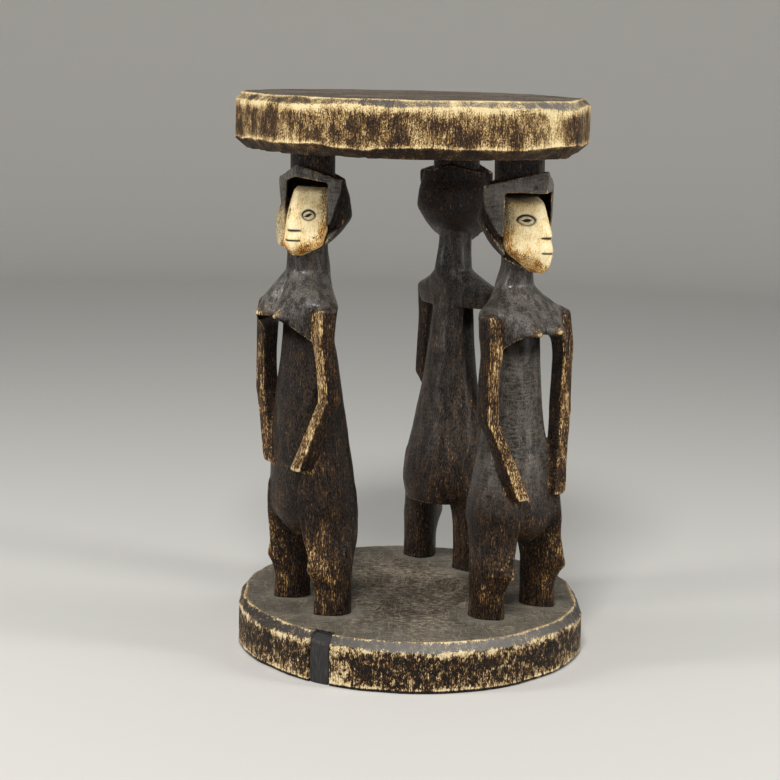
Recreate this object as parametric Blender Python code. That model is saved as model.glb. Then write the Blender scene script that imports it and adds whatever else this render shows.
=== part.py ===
"""Ceremonial stool: a round seat carried on the heads of three carved figures that stand on a round base.

Metres, +Z up, origin at the centre of the base's underside. A figure is shaped facing -Y with its own left at +X,
and is then turned and set in its place on the base.
"""

import math

import bmesh
import bpy
from mathutils import Matrix, Vector

# Base disc
BASE_RADIUS = 0.135
BASE_THICKNESS = 0.038
BASE_CHAMFER_WIDTH = 0.005
BASE_CHAMFER_HEIGHT = 0.0065
BASE_FOOT_CHAMFER = 0.002

# Seat disc
SEAT_RADIUS = 0.1375
SEAT_THICKNESS = 0.041
SEAT_CHAMFER_WIDTH = 0.005
SEAT_CHAMFER_HEIGHT = 0.0055
SEAT_UNDER_CHAMFER_WIDTH = 0.0085
SEAT_UNDER_CHAMFER_HEIGHT = 0.0075

# Flats left by the adze on the rims, as the bearing of each flat and how deep it cuts into the round
SEAT_OFFSET = -0.004
SEAT_FLATS = ((350, 0.012), (24, 0.012), (317, 0.002), (60, 0.001), (100, 0.0015), (140, 0.002), (174, 0.002),
              (205, 0.003), (240, 0.001), (282, 0.001))
BASE_FLATS = ((2, 0.0028), (40, 0.001), (80, 0.0012), (130, 0.001), (178, 0.001), (222, 0.0012), (262, 0.0008),
              (315, 0.0012))
RIM_POINTS = 60

# Wood let into the rim of the base
REPAIR_BEARING = 241
REPAIR_WIDTH = 0.017
REPAIR_DEPTH = 0.010
REPAIR_SINK = 0.0008

# Figure: legs, body and crown stand on one another and give the height
LEG_LENGTH = 0.056
BODY_HEIGHT = 0.2752
CHEST_HEIGHT = 0.014
YOKE_HEIGHT = 0.023
CROWN_HEIGHT = 0.0105

LEG_SPREAD = 0.055
LEG_WIDTH = 0.027
LEG_DEPTH = 0.029
LEG_SET_BACK = 0.002
HIP_WIDTH = 0.072
HIP_DEPTH = 0.060
GROIN_RISE = 0.022
WAIST_WIDTH = 0.047
WAIST_DEPTH = 0.038
SHOULDER_WIDTH = 0.089
SHOULDER_FORWARD = 0.004
CHEST_FRONT = 0.022
CHEST_BACK = 0.018
BREAST_SPACING = 0.023
BREAST_REACH = 0.031
ARM_WIDTH = 0.0145
ARM_DEPTH = 0.0170
ARM_FORWARD = 0.0105
ELBOW_FORWARD = 0.007
HAND_FORWARD = 0.028
HAND_SPACING = 0.039
NECK_WIDTH = 0.0275
NECK_SET_BACK = 0.003
FACE_BACK = 0.0005
FACE_EDGE = 0.001
BROW_EDGE = 0.003
CHEEK_EDGE = 0.0065
JAW_EDGE = 0.009
CHIN_EDGE = 0.0165
BAND_OVERHANG = 0.0025
EYE_LENGTH = 0.013
EYE_HEIGHT = 0.0085
LINE_HEIGHT = 0.0012
LINE_DEPTH = 0.001
LINE_SHARE = 0.3
CROWN_INSET = 0.62
ROOF_SIDE_FALL = 0.25
ROOF_BACK_FALL = 0.12

# Joints: round tenons under the feet and on the crown, in blind sockets
FOOT_TENON_RADIUS = 0.0085
FOOT_TENON_LENGTH = 0.016
CROWN_TENON_RADIUS = 0.009
CROWN_TENON_LENGTH = 0.014
FIT_GAP = 0.0003
SOCKET_END_GAP = 0.0008

# Each figure: bearing and distance of its place on the base, the way it faces, the turn of its head on the body,
# how far the trunk leans to its left and to its back, and what the carver varied; eyes, nostrils and mouth are
# shares of the face's height
FIGURES = {
    "left": {
        "bearing": 208, "distance": 0.085, "facing": 217, "head_turn": 17, "lean": (0.0, -0.008),
        "torso": 0.163, "knee": 0.007, "upper_arm": 0.069, "forearm": 0.053, "band": 0.0115, "face": 0.054,
        "cap_width": 0.054, "cap_reach": 0.0195, "skull_reach": 0.033, "face_width": 0.037, "nose_reach": 0.030,
        "eyes": 0.57, "nostrils": 0.345, "mouth": 0.21,
    },
    "right": {
        "bearing": 331.7, "distance": 0.0886, "facing": 313, "head_turn": 0, "lean": (-0.004, 0.004),
        "torso": 0.152, "knee": 0.011, "upper_arm": 0.074, "forearm": 0.056, "band": 0.0155, "face": 0.060,
        "cap_width": 0.067, "cap_reach": 0.031, "skull_reach": 0.024, "face_width": 0.050, "nose_reach": 0.037,
        "eyes": 0.67, "nostrils": 0.46, "mouth": 0.285,
    },
    "back": {
        "bearing": 75, "distance": 0.091, "facing": 60, "head_turn": 0, "lean": (-0.001, 0.0),
        "torso": 0.158, "knee": 0.009, "upper_arm": 0.072, "forearm": 0.054, "band": 0.0135, "face": 0.057,
        "cap_width": 0.060, "cap_reach": 0.025, "skull_reach": 0.029, "face_width": 0.045, "nose_reach": 0.034,
        "eyes": 0.61, "nostrils": 0.395, "mouth": 0.24,
    },
}

# Heights that follow from the lengths above
FOOT_Z = BASE_THICKNESS + FIT_GAP
CROTCH_Z = FOOT_Z + LEG_LENGTH
CAP_Z = CROTCH_Z + BODY_HEIGHT
CROWN_Z = CAP_Z + CROWN_HEIGHT
SEAT_Z = CROWN_Z + FIT_GAP

OVERLAP = 0.003
WELD = 0.00003


def clear_scene():
    for obj in list(bpy.data.objects):
        bpy.data.objects.remove(obj)


def finish(name, colour, roughness):
    """A plain material with the piece's colour."""
    made = bpy.data.materials.new(name)
    made.use_nodes = True
    shader = made.node_tree.nodes["Principled BSDF"]
    shader.inputs["Base Color"].default_value = (*colour, 1)
    shader.inputs["Roughness"].default_value = roughness
    shader.inputs["Metallic"].default_value = 0
    return made


def between(a, b, t):
    return a + (b - a) * t


def power(value, exponent):
    return math.copysign(abs(value) ** exponent, value)


def oval(z, half_width, front, back, x=0.0, y=0.0, points=16, front_power=2.0, back_power=2.2):
    """One level ring: a superellipse whose front and back halves have their own depth and squareness.

    A power of 1 makes that half a straight-sided wedge.
    """
    ring = []
    for k in range(points):
        turn = 2 * math.pi * k / points
        across, along = math.cos(turn), math.sin(turn)
        depth, squareness = (back, back_power) if along > 0 else (front, front_power)
        ring.append(Vector((
            x + half_width * power(across, 2 / squareness),
            y + depth * power(along, 2 / squareness),
            z,
        )))
    return ring


def loft(name, rings, peak=None, hoop=False):
    """A closed solid through rings of equal point count.

    Each end is a flat face, or the last one is drawn up to a peak; a hoop runs back into its first ring instead.
    """
    shape = bmesh.new()
    levels = [[shape.verts.new(point) for point in ring] for ring in rings]
    count = len(rings[0])
    for lower, upper in zip(levels, levels[1:] + levels[:1] if hoop else levels[1:]):
        for k in range(count):
            shape.faces.new((lower[k], lower[(k + 1) % count], upper[(k + 1) % count], upper[k]))
    bmesh.ops.triangulate(shape, faces=shape.faces)
    if not hoop:
        shape.faces.new(levels[0])
        if peak is None:
            shape.faces.new(levels[-1])
        else:
            tip = shape.verts.new(peak)
            for k in range(count):
                shape.faces.new((levels[-1][k], levels[-1][(k + 1) % count], tip))
    bmesh.ops.recalc_face_normals(shape, faces=shape.faces)
    mesh = bpy.data.meshes.new(name)
    shape.to_mesh(mesh)
    shape.free()
    obj = bpy.data.objects.new(name, mesh)
    bpy.context.scene.collection.objects.link(obj)
    return obj


def peg(name, radius, low, high, x=0.0, y=0.0):
    return loft(name, [oval(z, radius, radius, radius, x, y, back_power=2.0) for z in (low, high)])


def extrude_across(name, outline, half_width):
    """A side outline of (y, z) points, extruded across X."""
    return loft(name, [[Vector((x, y, z)) for y, z in outline] for x in (-half_width, half_width)])


def combine(target, operation, *others):
    """Applies a Boolean of each other solid to the target, welds what it leaves, and removes the others."""
    for other in others:
        step = target.modifiers.new(operation, "BOOLEAN")
        step.operation = operation
        step.object = other
        graph = bpy.context.evaluated_depsgraph_get()
        result = bpy.data.meshes.new_from_object(target.evaluated_get(graph))
        target.modifiers.clear()
        shape = bmesh.new()
        shape.from_mesh(result)
        bmesh.ops.triangulate(shape, faces=shape.faces)
        bmesh.ops.remove_doubles(shape, verts=shape.verts, dist=WELD)
        bmesh.ops.dissolve_degenerate(shape, edges=shape.edges, dist=WELD)
        shape.to_mesh(result)
        shape.free()
        target.data = result
        bpy.data.objects.remove(other)
    return target


def gather(first, *others):
    """Puts solids that stand clear of each other into one object, so that they cut in one step."""
    shape = bmesh.new()
    for obj in (first, *others):
        shape.from_mesh(obj.data)
    shape.to_mesh(first.data)
    shape.free()
    for obj in others:
        bpy.data.objects.remove(obj)
    return first


def dress(obj, name, material, crease=35):
    obj.name = name
    obj.data.name = name
    obj.data.materials.clear()
    obj.data.materials.append(material)
    obj.data.shade_smooth()
    obj.data.set_sharp_from_angle(angle=math.radians(crease))
    return obj


# Discs

def rim_outline(radius, flats, z, x=0.0):
    """A round with adze flats: at each bearing the radius is the nearest of the round and the flats."""
    ring = []
    for k in range(RIM_POINTS):
        turn = 2 * math.pi * k / RIM_POINTS
        reach = radius
        for bearing, depth in flats:
            lean = math.cos(turn - math.radians(bearing))
            if lean > 0.5:
                reach = min(reach, (radius - depth) / lean)
        ring.append(Vector((x + reach * math.cos(turn), reach * math.sin(turn), z)))
    return ring


def base_disc(radius):
    return loft("base", [
        rim_outline(radius - BASE_FOOT_CHAMFER, BASE_FLATS, 0),
        rim_outline(radius, BASE_FLATS, BASE_FOOT_CHAMFER),
        rim_outline(radius, BASE_FLATS, BASE_THICKNESS - BASE_CHAMFER_HEIGHT),
        rim_outline(radius - BASE_CHAMFER_WIDTH, BASE_FLATS, BASE_THICKNESS),
    ])


def seat_disc():
    top = SEAT_Z + SEAT_THICKNESS
    return loft("seat", [
        rim_outline(radius, SEAT_FLATS, z, SEAT_OFFSET)
        for radius, z in (
            (SEAT_RADIUS - SEAT_UNDER_CHAMFER_WIDTH, SEAT_Z),
            (SEAT_RADIUS, SEAT_Z + SEAT_UNDER_CHAMFER_HEIGHT),
            (SEAT_RADIUS, top - SEAT_CHAMFER_HEIGHT),
            (SEAT_RADIUS - SEAT_CHAMFER_WIDTH, top))
    ])


def repair_block(half_width, depth):
    """A block across the rim at the repair's bearing, taller than the base and longer outwards."""
    block = loft("repair_block", [
        [Vector((reach, side, z)) for reach, side in (
            (BASE_RADIUS - depth, -half_width), (BASE_RADIUS + depth, -half_width),
            (BASE_RADIUS + depth, half_width), (BASE_RADIUS - depth, half_width))]
        for z in (-OVERLAP, BASE_THICKNESS + OVERLAP)
    ])
    block.data.transform(Matrix.Rotation(math.radians(REPAIR_BEARING), 4, "Z"))
    return block


# Parts of a figure, each a solid that overlaps its neighbours before they are joined

def legs(knee_reach):
    """Two posts with a keeled shin, a projecting knee and a thigh that leans in under the hip."""
    width, front, back = LEG_WIDTH / 2, LEG_DEPTH * 0.53, LEG_DEPTH * 0.47
    knee = front + knee_reach
    spread, hip = LEG_SPREAD / 2, HIP_WIDTH / 2 - LEG_WIDTH / 2
    sections = (
        (0.00, spread, width * 0.96, front, back),
        (0.22, spread, width, front * 1.04, back),
        (0.46, spread, width * 1.02, between(front, knee, 0.35), back * 1.08),
        (0.62, spread, width * 1.04, knee, back * 1.16),
        (0.76, between(spread, hip, 0.15), width * 1.08, between(front, knee, 0.85), back * 1.28),
        (1.02, between(spread, hip, 0.5), width * 1.14, front * 1.50, back * 1.55),
        (1.30, hip, width * 1.14, front * 1.46, back * 1.65),
        (1.52, hip * 0.90, width, front * 1.20, back * 1.55),
    )
    made = []
    for side in (-1, 1):
        made.append(loft("leg", [
            oval(FOOT_Z + LEG_LENGTH * level, half, fore, aft, side * x, LEG_SET_BACK, 12, 1.5, 2.6)
            for level, x, half, fore, aft in sections
        ]))
    return made


def torso(chest_z):
    """A long tapering trunk: a groin that rises to both sides in front, full hips, and a narrowing waist."""
    hip, waist = HIP_WIDTH / 2, WAIST_WIDTH / 2
    hip_front, hip_back = HIP_DEPTH * 0.46, HIP_DEPTH * 0.54
    waist_front, waist_back = WAIST_DEPTH * 0.49, WAIST_DEPTH * 0.51
    length = chest_z - CROTCH_Z
    trunk = ((1.06, 1.02), (0.78, 0.93), (0.55, 0.75), (0.36, 0.47), (0.20, 0.14))
    sizes = []
    for level, slim in trunk:
        sizes.append((level, between(hip, waist, slim), between(hip_front, waist_front, slim),
                      between(hip_back, waist_back, slim), 0.0))
    for level, across, fore, aft, rise in (
            (0.105, 1.00, 1.00, 1.00, 0.25), (0.030, 0.88, 0.80, 0.97, 0.75), (-0.010, 0.70, 0.55, 0.86, 1.0)):
        sizes.append((level, hip * across, hip_front * fore, hip_back * aft, rise))
    rings = []
    for level, across, fore, aft, rise in sizes:
        ring = oval(CROTCH_Z + length * level, across, fore, aft, points=18, front_power=2.2, back_power=2.5)
        for spot in ring:
            forward = min(1.0, max(0.0, 0.4 - 0.6 * spot.y / hip_front))
            spot.z += GROIN_RISE * rise * forward * abs(spot.x) / hip
        rings.append(ring)
    return loft("torso", rings, Vector((0, 0, CROTCH_Z + length * sizes[-1][0])))


def chest(chest_z, neck_top):
    """The overhanging chest with its two points, and sloping shoulders drawn up into the neck."""
    shoulder, neck = SHOULDER_WIDTH / 2, NECK_WIDTH / 2
    shoulder_z = chest_z + CHEST_HEIGHT
    neck_z = shoulder_z + YOKE_HEIGHT
    point = BREAST_REACH - CHEST_FRONT
    sections = (
        (chest_z, shoulder * 0.74, CHEST_FRONT * 0.92, CHEST_BACK * 0.92, 0.75),
        (chest_z + CHEST_HEIGHT * 0.4, shoulder * 0.87, CHEST_FRONT, CHEST_BACK, 1.1),
        (shoulder_z, shoulder * 0.95, CHEST_FRONT * 0.95, CHEST_BACK, 0.75),
        (shoulder_z + YOKE_HEIGHT * 0.32, between(shoulder, neck, 0.26), CHEST_FRONT * 0.80, CHEST_BACK, 0.45),
        (shoulder_z + YOKE_HEIGHT * 0.66, between(shoulder, neck, 0.66), CHEST_FRONT * 0.62, CHEST_BACK, 0.15),
        (neck_z, neck * 1.08, neck * 0.98, neck * 1.05 + NECK_SET_BACK, 0),
        (neck_top, neck, neck * 0.92, neck + NECK_SET_BACK, 0),
    )
    rings = []
    for z, across, fore, aft, pointed in sections:
        forward = SHOULDER_FORWARD * min(1.0, max(0.0, (neck_z - z) / YOKE_HEIGHT))
        ring = oval(z, across, fore, aft, 0, -forward, points=36, front_power=1.9)
        for spot in ring:
            if spot.y < -forward:
                off_point = abs(abs(spot.x) - BREAST_SPACING / 2) / (BREAST_SPACING * 0.42)
                spot.y -= point * pointed * max(0.0, 1 - off_point)
        rings.append(ring)
    return loft("chest", rings)


def arms(chest_z, upper_arm, forearm):
    """Upper arms hang clear of the trunk to the elbow, then the forearms come in to lay the hands on the belly."""
    width, depth = ARM_WIDTH / 2, ARM_DEPTH / 2
    outside = SHOULDER_WIDTH / 2 - width
    shoulder_z = chest_z + CHEST_HEIGHT
    elbow_z = shoulder_z - upper_arm
    hand_x = HAND_SPACING / 2
    sections = [
        (shoulder_z + YOKE_HEIGHT * 0.14, outside * 0.90, -ARM_FORWARD * 0.6, 0.80, 0.95),
        (shoulder_z, outside * 0.94, -ARM_FORWARD * 0.7, 1.20, 1.15),
        (chest_z, outside * 0.93, -ARM_FORWARD * 0.9, 1.45, 1.08),
        (chest_z - CHEST_HEIGHT * 0.7, outside * 0.985, -ARM_FORWARD, 1.15, 1.0),
        (between(shoulder_z, elbow_z, 0.6), outside * 1.02, -between(ARM_FORWARD, ELBOW_FORWARD, 0.5), 1.0, 0.97),
        (elbow_z, outside, -ELBOW_FORWARD, 1.0, 1.03),
    ]
    for along, thick, deep in ((0.14, 0.98, 1.0), (0.55, 0.92, 0.94), (0.88, 0.90, 0.88), (1.0, 0.74, 0.66)):
        sections.append((elbow_z - forearm * along, between(outside, hand_x, along),
                         -between(ELBOW_FORWARD, HAND_FORWARD, along), thick, deep))
    made = []
    for side in (-1, 1):
        made.append(loft("arm", [
            oval(z, width * thick, depth * deep, depth * deep, side * x, y, 10, 2.4, 2.4)
            for z, x, y, thick, deep in sections
        ]))
    return made


def head(plan, brow_z, chin_z):
    """A wedge-fronted cap that frames the face, with the skull behind running down and forward to the jaw."""
    half, reach, skull = plan["cap_width"] / 2, plan["cap_reach"], plan["skull_reach"]
    chin = -plan["nose_reach"] * 0.62
    sections = (
        (0.02, 0.26, 0.10, -0.05),
        (0.14, 0.50, 0.30, 0.34),
        (0.32, 0.78, 0.62, 0.74),
        (0.52, 0.97, 0.86, 0.98),
        (0.74, 1.02, 0.97, 0.98),
        (1.00, 1.00, 1.00, 0.84),
    )
    rings = []
    for level, across, fore, aft in sections:
        middle = between(chin, 0, min(1, level / 0.52))
        rings.append(oval(between(chin_z, brow_z, level), half * across, between(-chin, reach, fore) + middle,
                          skull * aft - middle, 0, middle, 20, 1.0, 2.2))
    roof = oval(CAP_Z, half * 0.98, reach, skull * 0.76, 0, 0, 20, 1.0, 2.2)
    peak = Vector((0, (skull * 0.76 - reach) / 2, CAP_Z))
    for point in (*roof, peak):
        point.z -= ROOF_SIDE_FALL * abs(point.x) + ROOF_BACK_FALL * (point.y + reach)
    return loft("head", rings + [roof], peak)


def crown(plan, brow_z):
    """The block on top of the head that carries the seat, drawn in from the cap on every side."""
    half, reach, skull = plan["cap_width"] / 2, plan["cap_reach"], plan["skull_reach"]
    return loft("crown", [
        oval(z, half * CROWN_INSET, reach * CROWN_INSET, skull * CROWN_INSET, 0, 0, 16, 1.4, 2.4)
        for z in (brow_z + OVERLAP * 0.2, CROWN_Z)
    ])


def foot_places():
    return -LEG_SPREAD / 2, LEG_SPREAD / 2


def tenons():
    feet = [
        peg("foot_tenon", FOOT_TENON_RADIUS, BASE_THICKNESS - FOOT_TENON_LENGTH, FOOT_Z + OVERLAP, x,
            LEG_SET_BACK)
        for x in foot_places()
    ]
    return feet, peg("crown_tenon", CROWN_TENON_RADIUS, CAP_Z, SEAT_Z + CROWN_TENON_LENGTH)


def chin_seat(plan):
    """How far forward the bed of the face comes at the chin."""
    return plan["nose_reach"] * 0.45


def face_bed(plan, brow_z, chin_z):
    """The hollow that the face lies in: upright behind the cheeks, sloping under the chin."""
    cheek_z = between(chin_z, brow_z, 0.34)
    back = FIT_GAP - FACE_BACK
    chin = FIT_GAP - chin_seat(plan)
    front = -plan["nose_reach"] - plan["cap_reach"]
    return extrude_across("face_bed", [
        (front, brow_z + FIT_GAP), (back, brow_z + FIT_GAP), (back, cheek_z - FIT_GAP),
        (chin, chin_z - FIT_GAP), (chin - OVERLAP, chin_z - OVERLAP), (front, chin_z - OVERLAP),
    ], plan["face_width"] / 2 + FIT_GAP)


def face_section(plan, level):
    """Half width, reach of the ridge and reach of the cheek edge of the face at a share of its height."""
    half, nose = plan["face_width"] / 2, plan["nose_reach"]
    forehead = plan["cap_reach"] - BAND_OVERHANG
    profile = (
        (0.00, half * 0.14, nose * 0.74, CHIN_EDGE),
        (0.03, half * 0.28, nose * 0.85, CHIN_EDGE),
        (0.14, half * 0.57, nose * 0.95, between(JAW_EDGE, CHIN_EDGE, 0.5)),
        (0.29, half * 0.80, nose * 0.99, JAW_EDGE),
        (0.42, half * 0.97, nose * 0.96, CHEEK_EDGE),
        (0.46, half, nose, CHEEK_EDGE),
        (0.70, half, between(forehead, nose, 0.52), between(BROW_EDGE, CHEEK_EDGE, 0.5)),
        (1.00, half, forehead, BROW_EDGE),
    )
    for low, high in zip(profile, profile[1:]):
        if level <= high[0]:
            share = (level - low[0]) / (high[0] - low[0])
            return [between(a, b, share) for a, b in zip(low[1:], high[1:])]
    return list(profile[-1][1:])


def carved_line(plan, level, z):
    """Cutter for a level line across the ridge of the face, of even depth on both planes."""
    width, ridge, cheek = face_section(plan, level)
    side = width * LINE_SHARE
    floor = LINE_DEPTH - ridge
    side_floor = floor + (ridge - cheek) * LINE_SHARE
    front = -ridge - OVERLAP
    return loft("carved_line", [
        [Vector((x, y, height)) for x, y in (
            (-side, side_floor), (0, floor), (side, side_floor), (side, front), (0, front), (-side, front))]
        for height in (z - LINE_HEIGHT / 2, z + LINE_HEIGHT / 2)
    ])


def eye_oval(half_length, half_height, depth):
    return oval(depth, half_length, half_height, half_height, points=14, front_power=1.7, back_power=1.7)


def carved_eye(plan, side, z):
    """Cutters for one eye on its plane of the face: an oval groove and a slit inside it."""
    width, ridge, cheek = face_section(plan, plan["eyes"])
    middle = Vector((side * width * 0.5, -(ridge + cheek) / 2, z))
    along = Vector((width, side * (ridge - cheek), 0)).normalized()
    outward = Vector((side * (ridge - cheek), -width, 0)).normalized()
    frame = Matrix((along, Vector((0, 0, 1)), outward)).transposed().to_4x4()
    frame.translation = middle
    outer = EYE_LENGTH / 2, EYE_HEIGHT / 2
    inner = outer[0] - LINE_HEIGHT, outer[1] - LINE_HEIGHT
    slit = EYE_LENGTH * 0.28, LINE_HEIGHT / 2
    floor, front = -LINE_DEPTH, OVERLAP
    outline = loft("eye_outline", [
        eye_oval(*size, depth) for size, depth in ((outer, floor), (outer, front), (inner, front), (inner, floor))
    ], hoop=True)
    pupil = loft("eye_slit", [eye_oval(*slit, depth) for depth in (floor, front)])
    for cutter in (outline, pupil):
        cutter.data.transform(frame)
    return outline, pupil


def face(plan, brow_z, chin_z):
    """The whitened face: two planes that meet in a ridge, on a flat back, with carved eyes, nostrils and mouth."""
    rings = []
    for level in (0.0, 0.03, 0.14, 0.29, 0.42, 0.46, 0.70, 1.0):
        width, ridge, cheek = face_section(plan, level)
        back = min(-FACE_BACK, between(-chin_seat(plan), -FACE_BACK, level / 0.34))
        edge = min(-cheek, back - FACE_EDGE)
        rings.append([Vector((x, y, between(chin_z, brow_z, level))) for x, y in (
            (-width, back), (-width, edge), (0, -ridge), (width, edge), (width, back))])
    lines = plan["mouth"], plan["nostrils"]
    cutters = [carved_line(plan, level, between(chin_z, brow_z, level)) for level in lines]
    for side in (-1, 1):
        cutters += carved_eye(plan, side, between(chin_z, brow_z, plan["eyes"]))
    return combine(loft("face", rings), "DIFFERENCE", gather(*cutters))


def lean_over(obj, lean, chest_z):
    """Leans the trunk: everything above the chest moves by the lean, the hips stay, the waist goes between."""
    for vertex in obj.data.vertices:
        share = min(1.0, max(0.0, (vertex.co.z - CROTCH_Z) / (chest_z - CROTCH_Z)))
        vertex.co.x += lean[0] * share
        vertex.co.y += lean[1] * share


def figure(plan):
    """One carved figure from its foot tenons to its crown tenon, and the face that lies in its bed."""
    chest_z = CROTCH_Z + plan["torso"]
    brow_z = CAP_Z - plan["band"]
    chin_z = brow_z - plan["face"]
    neck_top = between(chin_z, brow_z, 0.45)
    mask = face(plan, brow_z, chin_z)
    turned = head(plan, brow_z, chin_z), crown(plan, brow_z), face_bed(plan, brow_z, chin_z), mask
    for piece in turned:
        piece.data.transform(Matrix.Rotation(math.radians(plan["head_turn"]), 4, "Z"))
    skull, block, bed, mask = turned
    foot_pegs, crown_peg = tenons()
    body = combine(torso(chest_z), "UNION", chest(chest_z, neck_top),
                   *arms(chest_z, plan["upper_arm"], plan["forearm"]), *legs(plan["knee"]), skull, block)
    combine(body, "DIFFERENCE", bed)
    combine(body, "UNION", crown_peg, *foot_pegs)
    for piece in (body, mask):
        lean_over(piece, plan["lean"], chest_z)
    return body, mask


def set_on_base(name, plan, *pieces):
    """An empty at the figure's place on the base, turned the way it faces, with the pieces on it."""
    bearing = math.radians(plan["bearing"])
    place = bpy.data.objects.new(name + "_place", None)
    bpy.context.scene.collection.objects.link(place)
    place.location = (plan["distance"] * math.cos(bearing), plan["distance"] * math.sin(bearing), 0)
    place.rotation_euler.z = math.radians(plan["facing"] - 270)
    for piece in pieces:
        piece.parent = place
    bpy.context.view_layer.update()
    return place


def sockets(place, lean):
    """The cutters for one figure: two foot sockets in the base and a crown socket in the seat."""
    foot = [
        peg("foot_socket", FOOT_TENON_RADIUS + FIT_GAP, BASE_THICKNESS - FOOT_TENON_LENGTH - SOCKET_END_GAP,
            BASE_THICKNESS + OVERLAP, x, LEG_SET_BACK)
        for x in foot_places()
    ]
    top = peg("crown_socket", CROWN_TENON_RADIUS + FIT_GAP, SEAT_Z - OVERLAP,
              SEAT_Z + CROWN_TENON_LENGTH + SOCKET_END_GAP, *lean)
    for cutter in (*foot, top):
        cutter.data.transform(place.matrix_world)
    return foot, top


def centre(pieces):
    """An empty that carries the whole stool and brings the middle of its outline over the origin."""
    carrier = bpy.data.objects.new("stool", None)
    bpy.context.scene.collection.objects.link(carrier)
    corners = [vertex.co for piece in pieces for vertex in piece.data.vertices]
    for axis in (0, 1):
        reach = [corner[axis] for corner in corners]
        carrier.location[axis] = -(min(reach) + max(reach)) / 2
    for obj in bpy.context.scene.objects:
        if obj.parent is None and obj is not carrier:
            obj.parent = carrier


def build():
    clear_scene()
    dark_wood = finish("dark_wood", (0.045, 0.031, 0.022), 0.5)
    worn_wood = finish("worn_wood", (0.16, 0.11, 0.062), 0.65)
    white_clay = finish("white_clay", (0.70, 0.53, 0.31), 0.8)
    repair_wood = finish("repair_wood", (0.022, 0.022, 0.023), 0.6)

    base = base_disc(BASE_RADIUS)
    seat = seat_disc()
    for name, plan in FIGURES.items():
        body, mask = figure(plan)
        place = set_on_base(name, plan, body, mask)
        foot_cutters, crown_cutter = sockets(place, plan["lean"])
        combine(base, "DIFFERENCE", *foot_cutters)
        combine(seat, "DIFFERENCE", crown_cutter)
        dress(body, name + "_figure", dark_wood)
        dress(mask, name + "_face", white_clay)

    repair = combine(base_disc(BASE_RADIUS - REPAIR_SINK), "INTERSECT",
                     repair_block(REPAIR_WIDTH / 2, REPAIR_DEPTH))
    combine(base, "DIFFERENCE", repair_block(REPAIR_WIDTH / 2 + FIT_GAP, REPAIR_DEPTH + FIT_GAP))
    dress(repair, "rim_repair", repair_wood)
    dress(base, "base", worn_wood)
    dress(seat, "seat", worn_wood)
    centre((base, seat))


build()
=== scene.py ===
import math

import bpy
import numpy as np
from mathutils import Matrix


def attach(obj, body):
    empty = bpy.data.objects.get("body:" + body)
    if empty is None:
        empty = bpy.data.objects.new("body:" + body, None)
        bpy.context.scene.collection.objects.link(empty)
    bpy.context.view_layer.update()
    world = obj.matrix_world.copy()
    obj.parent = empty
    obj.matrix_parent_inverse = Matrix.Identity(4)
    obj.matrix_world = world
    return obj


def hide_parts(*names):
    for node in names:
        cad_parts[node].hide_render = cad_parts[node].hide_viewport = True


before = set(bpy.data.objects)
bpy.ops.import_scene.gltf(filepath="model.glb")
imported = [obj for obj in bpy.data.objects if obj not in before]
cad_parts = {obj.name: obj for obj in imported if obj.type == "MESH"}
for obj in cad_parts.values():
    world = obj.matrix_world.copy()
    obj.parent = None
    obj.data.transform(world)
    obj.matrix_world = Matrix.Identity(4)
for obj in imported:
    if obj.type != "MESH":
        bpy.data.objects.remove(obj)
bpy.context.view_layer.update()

print("frame loaded:", len(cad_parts), "nodes")

# heights of the CAD, in metres: the figures stand between the two discs
stool = dict(
    shift=0.00399,  # how far the axis of the base lies from the middle of the outline
    baseTop=0.038, seatUnder=0.3803, seatTop=0.4213,
    footZ=0.0383, crotchZ=0.0943, capZ=0.3695, crownZ=0.380,
    sunk=0.0008,  # feet and crowns run on into the discs, because the real stool is one block
)


# small helpers for numbers and meshes

def linear(code):  # sRGB hex to linear RGBA
    part = np.array([int(code[i:i + 2], 16) for i in (1, 3, 5)]) / 255
    part = np.where(part <= 0.04045, part / 12.92, ((part + 0.055) / 1.055) ** 2.4)
    return (*part.tolist(), 1.0)


def between(a, b, t):
    return a + (b - a) * t


def ramp(value, low, high):  # smooth step from 0 at low to 1 at high
    t = np.clip((value - low) / (high - low), 0, 1)
    return t * t * (3 - 2 * t)


def along(rows, at):  # smooth curve through rows of (place, values...), read at places, without overshoot
    rows = np.array(rows, float)
    knots, values = rows[:, 0], rows[:, 1:]
    gap = np.diff(knots)[:, None]
    rise = np.diff(values, axis=0) / gap
    slope = np.zeros_like(values)
    same = rise[:-1] * rise[1:] > 0
    both = np.where(same, rise[:-1] + rise[1:], 1)
    slope[1:-1] = np.where(same, 2 * rise[:-1] * rise[1:] / both, 0)
    slope[0], slope[-1] = rise[0], rise[-1]
    at = np.clip(at, knots[0], knots[-1])
    k = np.clip(np.searchsorted(knots, at) - 1, 0, len(knots) - 2)
    t = ((at - knots[k]) / gap[k, 0])[:, None]
    low, high = values[k], values[k + 1]
    bend = (2 * t ** 3 - 3 * t ** 2 + 1) * low + (3 * t ** 2 - 2 * t ** 3) * high
    bend += gap[k] * ((t ** 3 - 2 * t ** 2 + t) * slope[k] + (t ** 3 - t ** 2) * slope[k + 1])
    return bend.T


def scatter(i, j, k, seed):  # a fixed number from 0 to 1 for each whole-number place, from a 32-bit hash
    i, j, k = (np.asarray(v).astype(np.int64) & 0xFFFFFFFF for v in (i, j, k))
    h = (i * 374761393 + j * 668265263 + k * 2246822519 + seed * 3266489917) & 0xFFFFFFFF
    h = ((h ^ (h >> 15)) * 2246822519) & 0xFFFFFFFF
    h = ((h ^ (h >> 13)) * 3266489917) & 0xFFFFFFFF
    return ((h ^ (h >> 16)) & 0xFFFFFF) / 0xFFFFFF


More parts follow.
